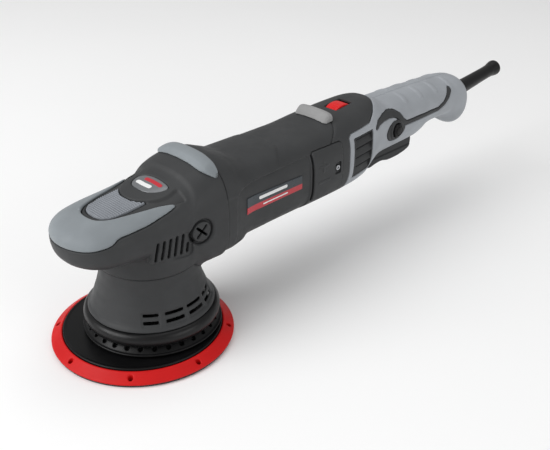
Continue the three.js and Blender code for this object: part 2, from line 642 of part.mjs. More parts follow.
// A strip of constant width along a bent line, in the XZ plane.
function strip(points, width) {
  const ends = [];
  for (const side of [1, -1]) {
    const edge = points.map(([x, z], i) => {
      const [ax, az] = points[Math.max(i - 1, 0)];
      const [bx, bz] = points[Math.min(i + 1, points.length - 1)];
      const length = Math.hypot(bx - ax, bz - az);
      return [x - (side * width * (bz - az)) / length / 2, z + (side * width * (bx - ax)) / length / 2];
    });
    ends.push(...(side === 1 ? edge : edge.reverse()));
  }
  return ends;
}

// The dark line on each side: an arc over the lock button, then a straight run with a kick up.
const INLAY_LINE = [
  [203.5, 98], [207, 100.8], [214, 102.3], [222, 102.4], [230, 101], [235.5, 97.5], [239, 92.8], [244, 89.8],
  [290, 88.3], [298, 91.3], [303.7, 95.6], [308, 100],
];

function inlayZone(grow) {
  const line = sidePlate(strip(INLAY_LINE, 4.6 + 2 * grow), -50, -1);
  const boss = circle(0, 0, 1).map(([x, z]) => [LOCK.x + (11.5 + grow) * x, LOCK.z - 0.6 + (7.6 + grow) * z]);
  return join(line, sidePlate(boss, -50, -1));
}

function addHandle() {
  const front = box(20, HANDLE_SEAM_X + GAP, -60, 60, 30, 160);
  const hollow = [158, 192, 211, 221, 228, 264, 290, 311, 317, 323, 329, 338];
  const inside = casing(BODY.filter(([x]) => hollow.includes(x)), SKIN, -SKIN);
  const tubeWall = cut(casing(BODY), inside, front);
  const triggerSlot = box(203.6, 268.6, -12.3, 12.3, 40, 79);
  const cordHole = alongSleeve(rod(6.3, 320, 370, 16));
  const grilleWindow = sidePlate(around(GRILLE, GAP), -50, -10);
  const half = cut(tubeWall, capRegion(GAP), triggerSlot, cordHole, grilleWindow)
    .intersect(box(100, 400, -60, -GAP / 2, 20, 150));
  const pinBore = alongY(rod(2.3, -15, 15, 12), TRIGGER_PIN.x, TRIGGER_PIN.z);
  const screws = [[262, 100], [314, 96]];
  const bores = screws.map(([x, z]) => alongY(rod(2.3, -40, 40, 12), x, z));
  const leftShell = cut(half, inlayZone(GAP), pinBore);
  const buttonBore = alongY(rod(5.6, 1, 50, 20), LOCK.x, LOCK.z);
  const inlay = cut(casing(BODY, -0.4).intersect(inlayZone(0)), casing(BODY, SKIN));
  add("handle_inlay_left", cut(inlay, buttonBore), DARK_CASE);
  add("handle_inlay_right", mirrored(inlay), DARK_CASE);
  for (const [side, place] of [["left", (piece) => piece], ["right", mirrored]]) {
    const shell = side === "left" ? leftShell : cut(mirrored(leftShell), ...bores);
    add(`handle_shell_${side}`, shell, GREY_CASE);
    add(`vent_grille_${side}`, place(grille()), BLACK_PLASTIC);
  }
  screws.forEach(([x, z], i) => {
    add(`handle_screw_${i + 1}`, alongY(rod(2, -18, 8, 12), x, z), STEEL);
  });
  const cap = alongY(rod(5.2, 21, 27.2, 20), LOCK.x, LOCK.z);
  add("lock_button", join(cap, alongY(rod(3, 13.5, 22, 12), LOCK.x, LOCK.z)), BLACK_PLASTIC);
  add("switch_module", box(216, 254, -9, 9, 80.5, 101), BLACK_PLASTIC);
}

// The same four-cornered outline, moved outwards on every side.
function around(corners, grow) {
  const middle = (axis) => corners.reduce((sum, corner) => sum + corner[axis], 0) / corners.length;
  return corners.map((corner) =>
    corner.map((value, axis) => value + grow * Math.sign(value - middle(axis))));
}

// A framed louvre that fills the window in the left side of the handle.
function grille() {
  const wall = cut(casing(BODY, 0.4), casing(BODY, SKIN)).intersect(sidePlate(GRILLE, -50, -10));
  const [[x0, z0], [x1, z1], [, z2], [, z3]] = GRILLE;
  const slots = [];
  for (let i = 0; i < LOUVRES; i++) {
    const from = (i + 0.55) / LOUVRES;
    const to = (i + 0.88) / LOUVRES;
    const left = (t) => [x0 + 2, z0 + (z3 - z0) * t];
    const right = (t) => [x1 - 2, z1 + (z2 - z1) * t];
    slots.push(sidePlate([left(from), right(from), right(to), left(to)], -50, -5));
  }
  return cut(wall, ...slots);
}

function addTrigger() {
  const outline = [
    [205.5, 73], [204.6, 62], [208, 57], [214, 54.9], [221, 56.4], [229, 57.2], [238, 55], [249, 55.2],
    [257, 56.2], [264, 58], [266.8, 61], [267.4, 68], [264, 71.5], [258, 73.4], [214, 73.4],
  ];
  const bore = alongY(rod(2.3, -20, 20, 12), TRIGGER_PIN.x, TRIGGER_PIN.z);
  add("trigger", cut(sidePlate(outline, -11.8, 11.8), bore), DARK_CASE);
  add("trigger_pin", alongY(rod(2, -14.5, 14.5, 12), TRIGGER_PIN.x, TRIGGER_PIN.z), STEEL);
}

// ---------------------------------------------------------------- cord sleeve
const SLEEVE_TILT = 6.6; // degrees that the sleeve points up
const SLEEVE_DROP = 46.6; // height of the sleeve's axis where it would meet x = 0
const SLEEVE_BORE = 3.6; // radius of the way through for the cord

// Lays a piece made about Z along the sleeve's axis.
function alongSleeve(piece) {
  return piece.rotate([0, 90, 0]).rotate([0, -SLEEVE_TILT, 0]).translate([0, 0, SLEEVE_DROP]);
}

function addSleeve() {
  const outline = [
    [SLEEVE_BORE, 328], [8.4, 328], [8.4, 332], [6, 332], [5.4, 396], [6.2, 399], [7, 404], [5.6, 406.5],
    [SLEEVE_BORE, 406.5],
  ];
  add("cable_sleeve", alongSleeve(turned(outline, 20)), BLACK_RUBBER);
  add("cable_clamp", box(316, 323, -12, 12, 77, 81), BLACK_PLASTIC);
}

addPad();
addEccentricDrive();
addGearCase();
addArmature();
addMotor();
addHead();
addSkirt();
addBumpers();
addRearCap();
addHandle();
addTrigger();
addSleeve();

export default polisher;
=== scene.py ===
import json
import math

import bpy
import numpy as np
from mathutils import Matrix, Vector


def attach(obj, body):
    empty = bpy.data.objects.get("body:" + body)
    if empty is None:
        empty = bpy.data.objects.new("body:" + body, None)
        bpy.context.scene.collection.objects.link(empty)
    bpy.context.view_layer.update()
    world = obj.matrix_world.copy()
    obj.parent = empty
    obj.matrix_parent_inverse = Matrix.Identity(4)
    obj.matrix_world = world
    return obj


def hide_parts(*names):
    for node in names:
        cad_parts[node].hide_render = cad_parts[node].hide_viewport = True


# Detailed pieces and materials of the dual action polisher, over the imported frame.
# Shapes are fields of signed distance in millimetres, negative inside, and become metres as meshes.
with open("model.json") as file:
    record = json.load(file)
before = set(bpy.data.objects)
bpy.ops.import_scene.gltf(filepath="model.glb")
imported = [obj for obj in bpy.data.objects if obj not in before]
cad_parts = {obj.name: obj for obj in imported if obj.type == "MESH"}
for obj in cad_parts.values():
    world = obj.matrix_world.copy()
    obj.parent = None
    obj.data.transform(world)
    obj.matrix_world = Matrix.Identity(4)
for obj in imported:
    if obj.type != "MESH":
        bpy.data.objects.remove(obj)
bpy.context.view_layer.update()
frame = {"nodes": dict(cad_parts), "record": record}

COARSE = 1.0
VOXEL = 0.7

# ---------------------------------------------------------------- dimensions that several pieces share
GAP = 0.3
ECCENTRICITY = 7.5
PAD_DIRECTION = math.radians(164)
PAD_CENTRE = (ECCENTRICITY * math.cos(PAD_DIRECTION), ECCENTRICITY * math.sin(PAD_DIRECTION))

# Casing cross-sections: [x, half-width, top, widest level, bottom, squareness above, below].
# They follow the CAD, with finer stations at the two closed ends.
HEAD = [
    [-65.05, 1.8, 94.6, 92.2, 89.8, 2.2, 2.2],
    [-64.8, 5, 96.8, 92, 86, 2.2, 2.2],
    [-63, 12, 98.8, 91.5, 81.5, 2.3, 2.4],
    [-59.5, 19, 100.9, 91, 78, 2.4, 2.6],
    [-53, 26, 102.8, 90, 75.8, 2.6, 2.9],
    [-44, 30.6, 104.3, 89.5, 74.8, 2.6, 3],
    [-30, 32.6, 105.8, 89, 74.5, 2.6, 3],
    [-12, 33.3, 107.6, 87, 71, 2.6, 3],
    [4, 33.8, 110.3, 85, 58, 2.6, 3],
    [14, 34.4, 112.8, 84, 53, 2.6, 3],
    [21, 35, 116.2, 83, 50.5, 2.7, 3],
    [28, 35.2, 118.4, 82.7, 49.6, 2.8, 3],
    [40.6, 35.2, 120, 82.7, 49.2, 3, 3],
]
BODY = [
    [41, 35.2, 120, 82.7, 49.2, 3, 3],
    [50, 34.8, 118.7, 82.7, 49, 3.1, 3],
    [58, 33.4, 115.8, 82.7, 49.6, 3, 3],
    [70, 32.1, 111.8, 82.7, 53.6, 3, 3],
    [130, 32, 111.4, 82.7, 54.2, 3, 3],
    [158, 31.4, 113.4, 83.5, 54, 3, 3],
    [176, 30, 114.6, 84.5, 54, 3, 3],
    [192, 28, 116.2, 85.5, 54.5, 2.8, 2.8],
    [203, 26.3, 117, 87, 61, 2.6, 2.6],
    [211, 25, 116.4, 87, 65, 2.5, 2.4],
    [216, 24.5, 114.8, 87.6, 66.2, 2.4, 2.4],
    [221, 24.1, 111.8, 88, 66.5, 2.4, 2.4],
    [228, 23.6, 109.5, 88.2, 66.5, 2.4, 2.4],
    [264, 21.8, 109.2, 89, 66.5, 2.2, 2.3],
    [271, 21.4, 108.9, 89.4, 67.8, 2.2, 2.2],
    [278, 20.8, 108.6, 89.7, 72, 2.2, 2.2],
    [290, 20.3, 108.1, 90, 73.8, 2.2, 2.2],
    [311, 20.2, 107.4, 89, 73.4, 2.2, 2.2],
    [317, 20.5, 107, 87.5, 69.5, 2.2, 2.2],
    [323, 20.5, 106.2, 86, 63.5, 2.2, 2.2],
    [329, 20.1, 104.9, 85, 61, 2.2, 2.2],
    [333.5, 18.8, 102.6, 84.5, 62.2, 2.2, 2.2],
    [336.5, 16.8, 100, 84.5, 66, 2.2, 2.2],
    [338.4, 14, 97.4, 85, 70, 2.2, 2.2],
    [339.4, 6, 91, 85.3, 78.5, 2.2, 2.2],
]
# x where each casing closes. Its sections are spaced by the square root of the distance to it.
HEAD_END = -65.1
BODY_END = 342.6
HEAD_BACK = 40.6
BODY_FRONT = 41


# ---------------------------------------------------------------- fields
class Block:
    """A regular grid of sample points over a box, in millimetres."""

    def __init__(self, x, y, z, step=VOXEL):
        self.step = step * COARSE
        margin = 2.5 * self.step
        self.axes = [
            np.arange(low - margin, high + margin + self.step, self.step, dtype=np.float32)
            for low, high in (x, y, z)
        ]
        self.x = self.axes[0][:, None, None]
        self.y = self.axes[1][None, :, None]
        self.z = self.axes[2][None, None, :]


def monotone(xs, ys, x):
    """A smooth curve through the points that never swings past them."""
    width = np.diff(xs)
    slope = np.diff(ys) / width
    tangent = np.zeros(len(ys))
    tangent[0], tangent[-1] = slope[0], slope[-1]
    before, after = slope[:-1], slope[1:]
    near, far = 2 * width[1:] + width[:-1], width[1:] + 2 * width[:-1]
    same = before * after > 0
    safe = np.where(same, before, 1), np.where(same, after, 1)
    tangent[1:-1] = np.where(same, (near + far) / (near / safe[0] + far / safe[1]), 0)
    i = np.clip(np.searchsorted(xs, x) - 1, 0, len(width) - 1)
    t = np.clip((x - xs[i]) / width[i], 0, 1)
    rise = (1 + 2 * t) * (1 - t) ** 2 * ys[i] + t * t * (3 - 2 * t) * ys[i + 1]
    return rise + width[i] * (t * (1 - t) ** 2 * tangent[i] - t * t * (1 - t) * tangent[i + 1])


def casing(block, table, end=None):
    """Distance to the skin through a table of cross-sections, rounded off at its closed end."""
    stations = np.array(table)
    knots, place = stations[:, 0], block.axes[0].astype(float)
    if end is not None:
        side = 1 if end < knots[0] else -1
        knots = side * np.sqrt(side * (knots - end))
        place = side * np.sqrt(np.maximum(side * (place - end), 0))
    rows = [monotone(knots, stations[:, k], place)[:, None, None].astype(np.float32) for k in range(1, 7)]
    width, top, level, bottom, above, below = rows
    rise = block.z - level
    upper = rise >= 0
    height = np.where(upper, top - level, level - bottom)
    power = np.where(upper, above, below)
    ratio = (np.abs(block.y) / width) ** power + (np.abs(rise) / height) ** power
    field = (ratio ** (1 / power) - 1) * width
    field /= np.sqrt(sum(g * g for g in np.gradient(field, block.step))) + 1e-6
    return field if end is None else np.maximum(field, side * (end - block.x))


def outline(u, v, points):
    """Distance to a closed flat outline."""
    best, inside = np.float32(1e9), False
    for (ax, ay), (bx, by) in zip(points, [*points[1:], points[0]]):
        ex, ey = bx - ax, by - ay
        along = np.clip(((u - ax) * ex + (v - ay) * ey) / (ex * ex + ey * ey), 0, 1)
        best = np.minimum(best, (u - ax - ex * along) ** 2 + (v - ay - ey * along) ** 2)
        if ay != by:
            crosses = ((ay <= v) != (by <= v)) & (u < ax + ex * (v - ay) / ey)
            inside = inside ^ crosses
    return (np.sqrt(best) * np.where(inside, -1, 1)).astype(np.float32)


def line(u, v, points, widths):
    """Distance to a band along a bent line, whose width changes from point to point."""
    best = np.float32(1e9)
    for (ax, ay), (bx, by), wa, wb in zip(points, points[1:], widths, widths[1:]):
        ex, ey = bx - ax, by - ay
        along = np.clip(((u - ax) * ex + (v - ay) * ey) / (ex * ex + ey * ey), 0, 1)
        gone = np.hypot(u - ax - ex * along, v - ay - ey * along)
        best = np.minimum(best, gone - (wa + (wb - wa) * along) / 2)
    return best


def away_from(u, v, centre):
    """Flat distance to a point."""
    return np.hypot(u - centre[0], v - centre[1])


def crosswise(block, centre):
    """Distance to a line across the tool through a point [x, z]."""
    return away_from(block.x, block.z, centre)


def from_side(block, points):
    """Distance to an outline of [x, z] that runs across the tool."""
    return outline(block.axes[0][:, None], block.axes[2][None, :], points)[:, None, :]


def from_above(block, points):
    """Distance to an upright outline of [x, y]."""
    return outline(block.axes[0][:, None], block.axes[1][None, :], points)[:, :, None]


def turned(block, profile, centre=(0, 0)):
    """Distance to a profile of [radius, height] turned about a vertical axis."""
    fine = 0.1
    radius = away_from(block.x[:, :, 0], block.y[:, :, 0], centre)
    radii = np.arange(0, radius.max() + 2 * fine, fine, dtype=np.float32)
    rows = outline(radii[:, None], block.axes[2][None, :], profile)
    i = (radius / fine).astype(int)
    t = (radius / fine - i)[:, :, None]
    return rows[i] * (1 - t) + rows[i + 1] * t


def soft(points, radius):
    """The same outline with its corners rounded, each over at most the radius along its sides."""
    corners = [Vector(point) for point in points]
    smooth = []
    for i, corner in enumerate(corners):
        sides = [corners[i - 1] - corner, corners[(i + 1) % len(corners)] - corner]
        ends = [corner + side * min(radius / side.length, 0.48) for side in sides]
        for t in (0, 0.25, 0.5, 0.75, 1):
            smooth.append(tuple(ends[0] * (1 - t) ** 2 + corner * 2 * t * (1 - t) + ends[1] * t * t))
    return smooth


def both(a, b, radius):
    """What two shapes share, with the edge between them rounded."""
    corner = np.hypot(np.maximum(a + radius, 0), np.maximum(b + radius, 0))
    return np.minimum(np.maximum(a, b), -radius) + corner


def without(a, b, radius):
    """One shape with another cut away, with the edge of the cut rounded."""
    return both(a, -b, radius)


def either(a, b, blend):
    """Two shapes joined by a soft fillet."""
    mix = np.clip(0.5 + 0.5 * (b - a) / blend, 0, 1)
    return b * (1 - mix) + a * mix - blend * mix * (1 - mix)


# ---------------------------------------------------------------- meshes
# The twelve edges of a grid cell, between corners numbered by their bits.
EDGES = [(a, b) for a in range(8) for b in range(a + 1, 8) if bin(a ^ b).count("1") == 1]
MILLIMETRE = 0.001
# How often a point is pulled onto the surface, and how far each time, in cells.
PULLS = 3
LONGEST_PULL = 0.25


def sample(grid, place):
    """A field's value between its grid points."""
    top = np.array(grid.shape) - 2
    i = np.clip(place.astype(int), 0, top)
    t = place - i
    total = 0
    for c in range(8):
        bits = np.array([c >> 2 & 1, c >> 1 & 1, c & 1])
        weight = np.prod(np.where(bits, t, 1 - t), axis=1)
        total = total + weight * grid[tuple((i + bits).T)]
    return total


def surface(block, field):
    """The closed surface where a field is zero, as points and four-sided faces."""
    inside = field < 0
    size = np.array(field.shape) - 1
    corner = [np.array([c >> 2 & 1, c >> 1 & 1, c & 1]) for c in range(8)]
    held = sum(inside[a:size[0] + a, b:size[1] + b, c:size[2] + c].astype(np.int8) for a, b, c in corner)
    cells = np.argwhere((held > 0) & (held < 8))
    values = np.stack([field[tuple((cells + c).T)] for c in corner], 1)
    total, count = np.zeros((len(cells), 3)), np.zeros(len(cells))
    for a, b in EDGES:
        crossed = (values[:, a] < 0) != (values[:, b] < 0)
        step = np.where(crossed, values[:, a] / np.where(crossed, values[:, a] - values[:, b], 1), 0)
        total += np.where(crossed[:, None], corner[a] + step[:, None] * (corner[b] - corner[a]), 0)
        count += crossed
    place = cells + total / count[:, None]
    slopes = np.gradient(field)
    for _ in range(PULLS):
        value = sample(field, place)
        slope = np.stack([sample(g, place) for g in slopes], 1)
        move = -value[:, None] * slope / np.maximum((slope ** 2).sum(1), 1e-6)[:, None]
        place += np.clip(move, -LONGEST_PULL, LONGEST_PULL)
    number = np.full(size, -1, np.int32)
    number[tuple(cells.T)] = np.arange(len(cells))
    quads = []
    for axis in range(3):
        side, up = (axis + 1) % 3, (axis + 2) % 3
        low = [slice(1, -1)] * 3
        low[axis] = slice(None, -1)
        high = list(low)
        high[axis] = slice(1, None)
        at = np.argwhere(inside[tuple(low)] != inside[tuple(high)])
        ring = []
        for du, dv in ((0, 0), (1, 0), (1, 1), (0, 1)):
            cell = at.copy()
            cell[:, side] += du
            cell[:, up] += dv
            ring.append(number[tuple(cell.T)])
        ring = np.stack(ring, 1)
        start = at.copy()
        start[:, side] += 1
        start[:, up] += 1
        out = inside[tuple(start.T)]
        quads.append(np.where(out[:, None], ring, ring[:, ::-1]))
    low = np.array([axis[0] for axis in block.axes])
    return low + place * block.step, np.concatenate(quads)


def build(name, points, quads, body, material, nodes=(), mirrored=False):
    """A mesh object that rides on a body and stands for CAD nodes."""
    points, quads = np.array(points), np.array(quads)
    if mirrored:
        points, quads = points * (1, -1, 1), quads[:, ::-1]
    mesh = bpy.data.meshes.new(name)
    mesh.vertices.add(len(points))
    mesh.vertices.foreach_set("co", (points * MILLIMETRE).astype(np.float32).ravel())
    mesh.loops.add(quads.size)
    mesh.loops.foreach_set("vertex_index", quads.astype(np.int32).ravel())
    mesh.polygons.add(len(quads))
    mesh.polygons.foreach_set("loop_start", np.arange(0, quads.size, 4, dtype=np.int32))
    mesh.update(calc_edges=True)
    mesh.shade_smooth()
    mesh.materials.append(material)
    piece = bpy.data.objects.new(name, mesh)
    bpy.context.scene.collection.objects.link(piece)
    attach(piece, body)
    if nodes:
        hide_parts(*nodes)
    return piece


def shape(name, block, field, body, material, nodes=()):
    """A piece from its field."""
    points, quads = surface(block, field)
    return build(name, points, quads, body, material, nodes)


def pair(name, block, field, body, material, node):
    """A piece on the left and its mirror image on the right."""
    points, quads = surface(block, field)
    for side in ("left", "right"):
        build(f"{name}_{side}", points, quads, body, material, [f"{node}_{side}"], side == "right")


# ---------------------------------------------------------------- materials
# Noise scales are features per metre. Pointiness is 0.5 on a flat face, less in hollows and more on edges.
PATCHES = 45
SMEARS = 120
GLOSS_SWING = 0.06
# Pointiness range over which hollows, creases and seams get painted shade.
SHADED_HOLLOWS = (0.4, 0.49)
RUBBED_EDGES = (0.53, 0.63)
LABEL_SPLIT = 0.08335


def nodes_of(name):
    """A new material, its node tree and its shader."""
    material = bpy.data.materials.new(name)
    material.use_nodes = True
    tree = material.node_tree
    return material, tree, tree.nodes["Principled BSDF"]


def noise(tree, scale, detail=3.0, stretch=None):
    """Noise fixed to the piece, in its own coordinates."""
    place = tree.nodes.new("ShaderNodeTexCoord")
    texture = tree.nodes.new("ShaderNodeTexNoise")
    texture.inputs["Scale"].default_value = scale
    texture.inputs["Detail"].default_value = detail
    source = place.outputs["Object"]
    if stretch:
        mapping = tree.nodes.new("ShaderNodeMapping")
        mapping.inputs["Scale"].default_value = stretch
        tree.links.new(source, mapping.inputs["Vector"])
        source = mapping.outputs["Vector"]
    tree.links.new(source, texture.inputs["Vector"])
    return texture.outputs["Fac"]


def spread(tree, value, low, high, start=0.3, end=0.7):
    """A value's stretch from start to end, mapped onto low to high."""
    ramp = tree.nodes.new("ShaderNodeMapRange")
    for key, number in (("From Min", start), ("From Max", end), ("To Min", low), ("To Max", high)):
        ramp.inputs[key].default_value = number
    tree.links.new(value, ramp.inputs["Value"])
    return ramp.outputs["Result"]


def blend(tree, amount, first, second):
    """A mix of two colours, either of which may come from another node."""
    mix = tree.nodes.new("ShaderNodeMix")
    mix.data_type = "RGBA"
    colours = [socket for socket in mix.inputs if socket.type == "RGBA"]
    for socket, colour in zip(colours, (first, second)):
        if isinstance(colour, tuple):
            socket.default_value = (*colour, 1)
        else:
            tree.links.new(colour, socket)
    tree.links.new(amount, mix.inputs[0])
    return [socket for socket in mix.outputs if socket.type == "RGBA"][0]


def tone(colour, gain):
    """A lighter or darker shade of a colour."""
    return tuple(min(1.0, c * gain) for c in colour)


def finish(name, colour, rough, grain=1400, depth=0.00006, drift=0.08, worn=0.12, metal=0.0, stretch=None,
           coat=0.0, sheen=0.0, specular=0.25):
    """A moulded, rubber or metal surface with drifting colour, rubbed edges, painted shade darkening its
    hollows, and grain.
    """
    material, tree, shader = nodes_of(name)
    patches = spread(tree, noise(tree, PATCHES), 0, 1)
    drifted = blend(tree, patches, tone(colour, 1 - drift), tone(colour, 1 + drift))
    edge = tree.nodes.new("ShaderNodeNewGeometry").outputs["Pointiness"]
    # Painted shade: where pointiness is low, in hollows and seams, the colour is darkened towards a third of
    # itself.
    hollow = blend(tree, spread(tree, edge, 0.55, 0, *SHADED_HOLLOWS), drifted, tone(colour, 0.35))
    rubbed = blend(tree, spread(tree, edge, 0, 1, *RUBBED_EDGES), hollow, tone(colour, 1 + 2 * worn))
    tree.links.new(rubbed, shader.inputs["Base Color"])
    gloss = spread(tree, noise(tree, SMEARS, 2), rough - GLOSS_SWING, rough + GLOSS_SWING)
    tree.links.new(gloss, shader.inputs["Roughness"])
    bump = tree.nodes.new("ShaderNodeBump")
    bump.inputs["Strength"].default_value = 0.6
    bump.inputs["Distance"].default_value = depth
    tree.links.new(noise(tree, grain, 2, stretch), bump.inputs["Height"])
    tree.links.new(bump.outputs["Normal"], shader.inputs["Normal"])
    shader.inputs["Metallic"].default_value = metal
    shader.inputs["Coat Weight"].default_value = coat
    shader.inputs["Coat Roughness"].default_value = 0.15
    shader.inputs["Sheen Weight"].default_value = sheen
    shader.inputs["Specular IOR Level"].default_value = specular
    return material


def srgb(code):
    """A colour written as six hexadecimal digits, in linear light."""
    parts = [int(code[i:i + 2], 16) / 255 for i in (0, 2, 4)]
    return tuple(c / 12.92 if c <= 0.04045 else ((c + 0.055) / 1.055) ** 2.4 for c in parts)


def label_finish():
    """Printed plastic: a dark band over a red one, which meet at one height."""
    material, tree, shader = nodes_of("label_print")
    place = tree.nodes.new("ShaderNodeTexCoord")
    split = tree.nodes.new("ShaderNodeSeparateXYZ")
    tree.links.new(place.outputs["Object"], split.inputs[0])
    band = spread(tree, split.outputs["Z"], 0, 1, LABEL_SPLIT, LABEL_SPLIT + 0.1 * MILLIMETRE)
    red = blend(tree, spread(tree, noise(tree, 60), 0, 1), srgb("ad2832"), srgb("bc333e"))
    dark = blend(tree, spread(tree, noise(tree, 60), 0, 1), srgb("2b3136"), srgb("343b41"))
    tree.links.new(blend(tree, band, red, dark), shader.inputs["Base Color"])
    tree.links.new(spread(tree, noise(tree, 200), 0.26, 0.36), shader.inputs["Roughness"])
    return material


def hook_finish():
    """Short hooks in rows."""
    material, tree, shader = nodes_of("hook_loops")
    place = tree.nodes.new("ShaderNodeTexCoord")
    cells = tree.nodes.new("ShaderNodeTexVoronoi")
    cells.inputs["Scale"].default_value = 900
    cells.inputs["Randomness"].default_value = 0.35
    tree.links.new(place.outputs["Object"], cells.inputs["Vector"])
    spots = spread(tree, cells.outputs["Distance"], 1, 0, 0.1, 0.6)
    tree.links.new(blend(tree, spots, srgb("1b1b1d"), srgb("4a4a4d")), shader.inputs["Base Color"])
    bump = tree.nodes.new("ShaderNodeBump")
    bump.inputs["Distance"].default_value = 0.0005
    tree.links.new(spots, bump.inputs["Height"])
    tree.links.new(bump.outputs["Normal"], shader.inputs["Normal"])
    shader.inputs["Roughness"].default_value = 0.95
    shader.inputs["Sheen Weight"].default_value = 0.3
    return material


DARK = finish("dark_case_plastic", srgb("38393a"), 0.52, depth=0.00009)
PADDLE = finish("paddle_plastic", srgb("2c2d2e"), 0.45, depth=0.00009)
GRIP = finish("blue_grey_rubber", srgb("81878b"), 0.6, grain=1900, sheen=0.1)
KNURL = finish("knurled_rubber", srgb("85898f"), 0.6, grain=1900, worn=0.25)
GREY = finish("handle_grey_plastic", srgb("9a9ea3"), 0.5, specular=0.35)
PALE = finish("bumper_grey_rubber", srgb("8f8f8f"), 0.6, sheen=0.1)
BLACK = finish("black_plastic", srgb("0e0e0f"), 0.36, depth=0.00004, specular=0.2)
RUBBER = finish("black_rubber", srgb("0f0f10"), 0.36, grain=900, specular=0.3)
RED = finish("red_foam_skin", srgb("c60b0c"), 0.5, grain=700, depth=0.0001, drift=0.05, worn=0.08)
DIAL_RED = finish("red_gloss_plastic", srgb("d0181a"), 0.32, drift=0.04, coat=0.1)
LIGHT_PRINT = finish("pale_print", srgb("e4e4e4"), 0.4, drift=0.03, worn=0.0)
BADGE = finish("badge_metal", srgb("77797c"), 0.36, grain=400, metal=0.3, stretch=(12, 1, 1), coat=0.2)
BADGE_RED = finish("badge_red", srgb("b9303a"), 0.35, drift=0.04, worn=0.0)
CAST = finish("cast_aluminium", srgb("4a4b4d"), 0.6, grain=500, depth=0.0001, metal=0.6)
STEEL = finish("turned_steel", srgb("b3b5b8"), 0.3, grain=250, metal=1.0, stretch=(1, 1, 14))
BLACKENED = finish("blackened_steel", srgb("1b1b1c"), 0.5, grain=250, metal=0.5)
COPPER = finish("turned_copper", srgb("b5713a"), 0.35, grain=250, metal=1.0)
BRASS = finish("stamped_brass", srgb("c7a24c"), 0.32, grain=300, metal=1.0)
CARBON = finish("pressed_carbon", srgb("2a2a2c"), 0.85)
BOARD = finish("coated_board", srgb("1d2b21"), 0.5, grain=300, depth=0.0002)
LABEL = label_finish()
HOOKS = hook_finish()

# The CAD nodes that show as they are take the look of their material slot, or one of their own.
SLOT_LOOKS = {
    "dark_case": DARK, "grey_grip": GRIP, "light_grey": PALE, "grey_case": GREY, "black_plastic": BLACK,
    "black_rubber": RUBBER, "red_foam": RED, "red_plastic": DIAL_RED, "hook_fabric": HOOKS, "aluminium": CAST,
    "steel": STEEL, "copper": COPPER, "brass": BRASS, "carbon": CARBON, "board": BOARD, "label": LABEL,
    "badge": BADGE,
}
OWN_LOOKS = {"counterweight": BLACKENED, "trigger_pin": BLACKENED, "eccentric_hub": BLACKENED}
for part in frame["record"]["subparts"]:
    for place in frame["nodes"][part["node"]].material_slots:
        place.link = "OBJECT"
        place.material = OWN_LOOKS.get(part["node"], SLOT_LOOKS[part["material_slot"]])


# ---------------------------------------------------------------- pad and drive
# Turned profiles are [radius, height].
PAD_RADIUS = 62.5
PAD_AROUND = [(c - PAD_RADIUS, c + PAD_RADIUS) for c in PAD_CENTRE]
HOOKS_PROFILE = [(4, 0), (61.6, 0), (61.6, 1.2), (4, 1.2)]
FOAM_PROFILE = [(8.3, 1.5), (61.9, 1.5), (62.5, 2), (62.3, 2.9), (56.2, 7.2), (55.6, 7.7), (54.8, 7.7),
                (54.6, 7.4), (54.6, 5), (8.3, 5)]
PLATE_PROFILE = [(4.2, 5.3), (54.2, 5.3), (54.3, 8.1), (53.8, 8.7), (52.9, 8.7), (52.3, 8.2), (30, 8.2),
                 (26, 8.7), (4.2, 8.7)]
FOAM_HOLES = 8
FOAM_HOLE_CIRCLE = 58.5
FOAM_HOLE_RADIUS = 1.7
RING_PROFILE = [(27.3, 9.7), (46.8, 9.7), (47.3, 10.1), (47.3, 10.8), (46.7, 11.2), (45.8, 11.3),
                (40.6, 15.9), (39.6, 16.3), (38.5, 16.1), (27.3, 12.6)]
RING_HOLES = 30
RING_HOLE_CIRCLE = 42.8
RING_HOLE_RADIUS = 1.55
RING_HOLE_FLOOR = 11.6
SKIRT_PROFILE = [(41.4, 25.5), (43, 25.5), (43.1, 26), (42.3, 27.4), (41.2, 28.6), (40.2, 30.5), (38.7, 34),
                 (37.3, 38), (36.1, 41), (35, 45), (34.1, 48), (33.6, 51), (33.3, 55), (33.2, 59.3),
                 (31, 59.3), (31.4, 51), (32.8, 45), (35, 38), (38, 30.5)]
# Slots on each side of the skirt: degrees round from the rear, and width. They lie in two rows.
SKIRT_SLOTS = ((127.5, 10), (103.5, 12.8), (78.5, 13.2), (53.5, 12.8))
SKIRT_SLOT_LEVELS = (30.8, 35.2)
SKIRT_SLOT_HEIGHT = 1.8
SKIRT_FIELD_LEVEL = 33
SKIRT_FIELD_HEIGHT = 8.8
SKIRT_FIELD_DEPTH = 0.45
ROLL_PROFILE = [(41.5, 17), (43.4, 15.7), (45.5, 16.5), (46.4, 18.8), (46.4, 21.4), (45.2, 23.9),
                (43.2, 25.2), (41.5, 25.2)]


def make_hooks():
    block = Block(*PAD_AROUND, (0, 1.2), 0.4)
    hooks = turned(block, HOOKS_PROFILE, PAD_CENTRE)
    shape("hook_disc", block, hooks, "pad", HOOKS, ["hook_face"])


def make_foam():
    block = Block(*PAD_AROUND, (1.5, 8), 0.5)
    foam = turned(block, FOAM_PROFILE, PAD_CENTRE)
    x, y = PAD_CENTRE
    for i in range(FOAM_HOLES):
        angle = i * 2 * math.pi / FOAM_HOLES
        centre = (x + FOAM_HOLE_CIRCLE * math.cos(angle), y + FOAM_HOLE_CIRCLE * math.sin(angle))
        foam = without(foam, away_from(block.x, block.y, centre) - FOAM_HOLE_RADIUS, 0.4)
    shape("foam_layer", block, foam, "pad", RED, ["pad_foam"])


def make_pad_plate():
    block = Block(*PAD_AROUND, (5.3, 8.8), 0.5)
    plate = turned(block, PLATE_PROFILE, PAD_CENTRE)
    shape("pad_plate", block, plate, "pad", BLACK, ["backing_plate"])


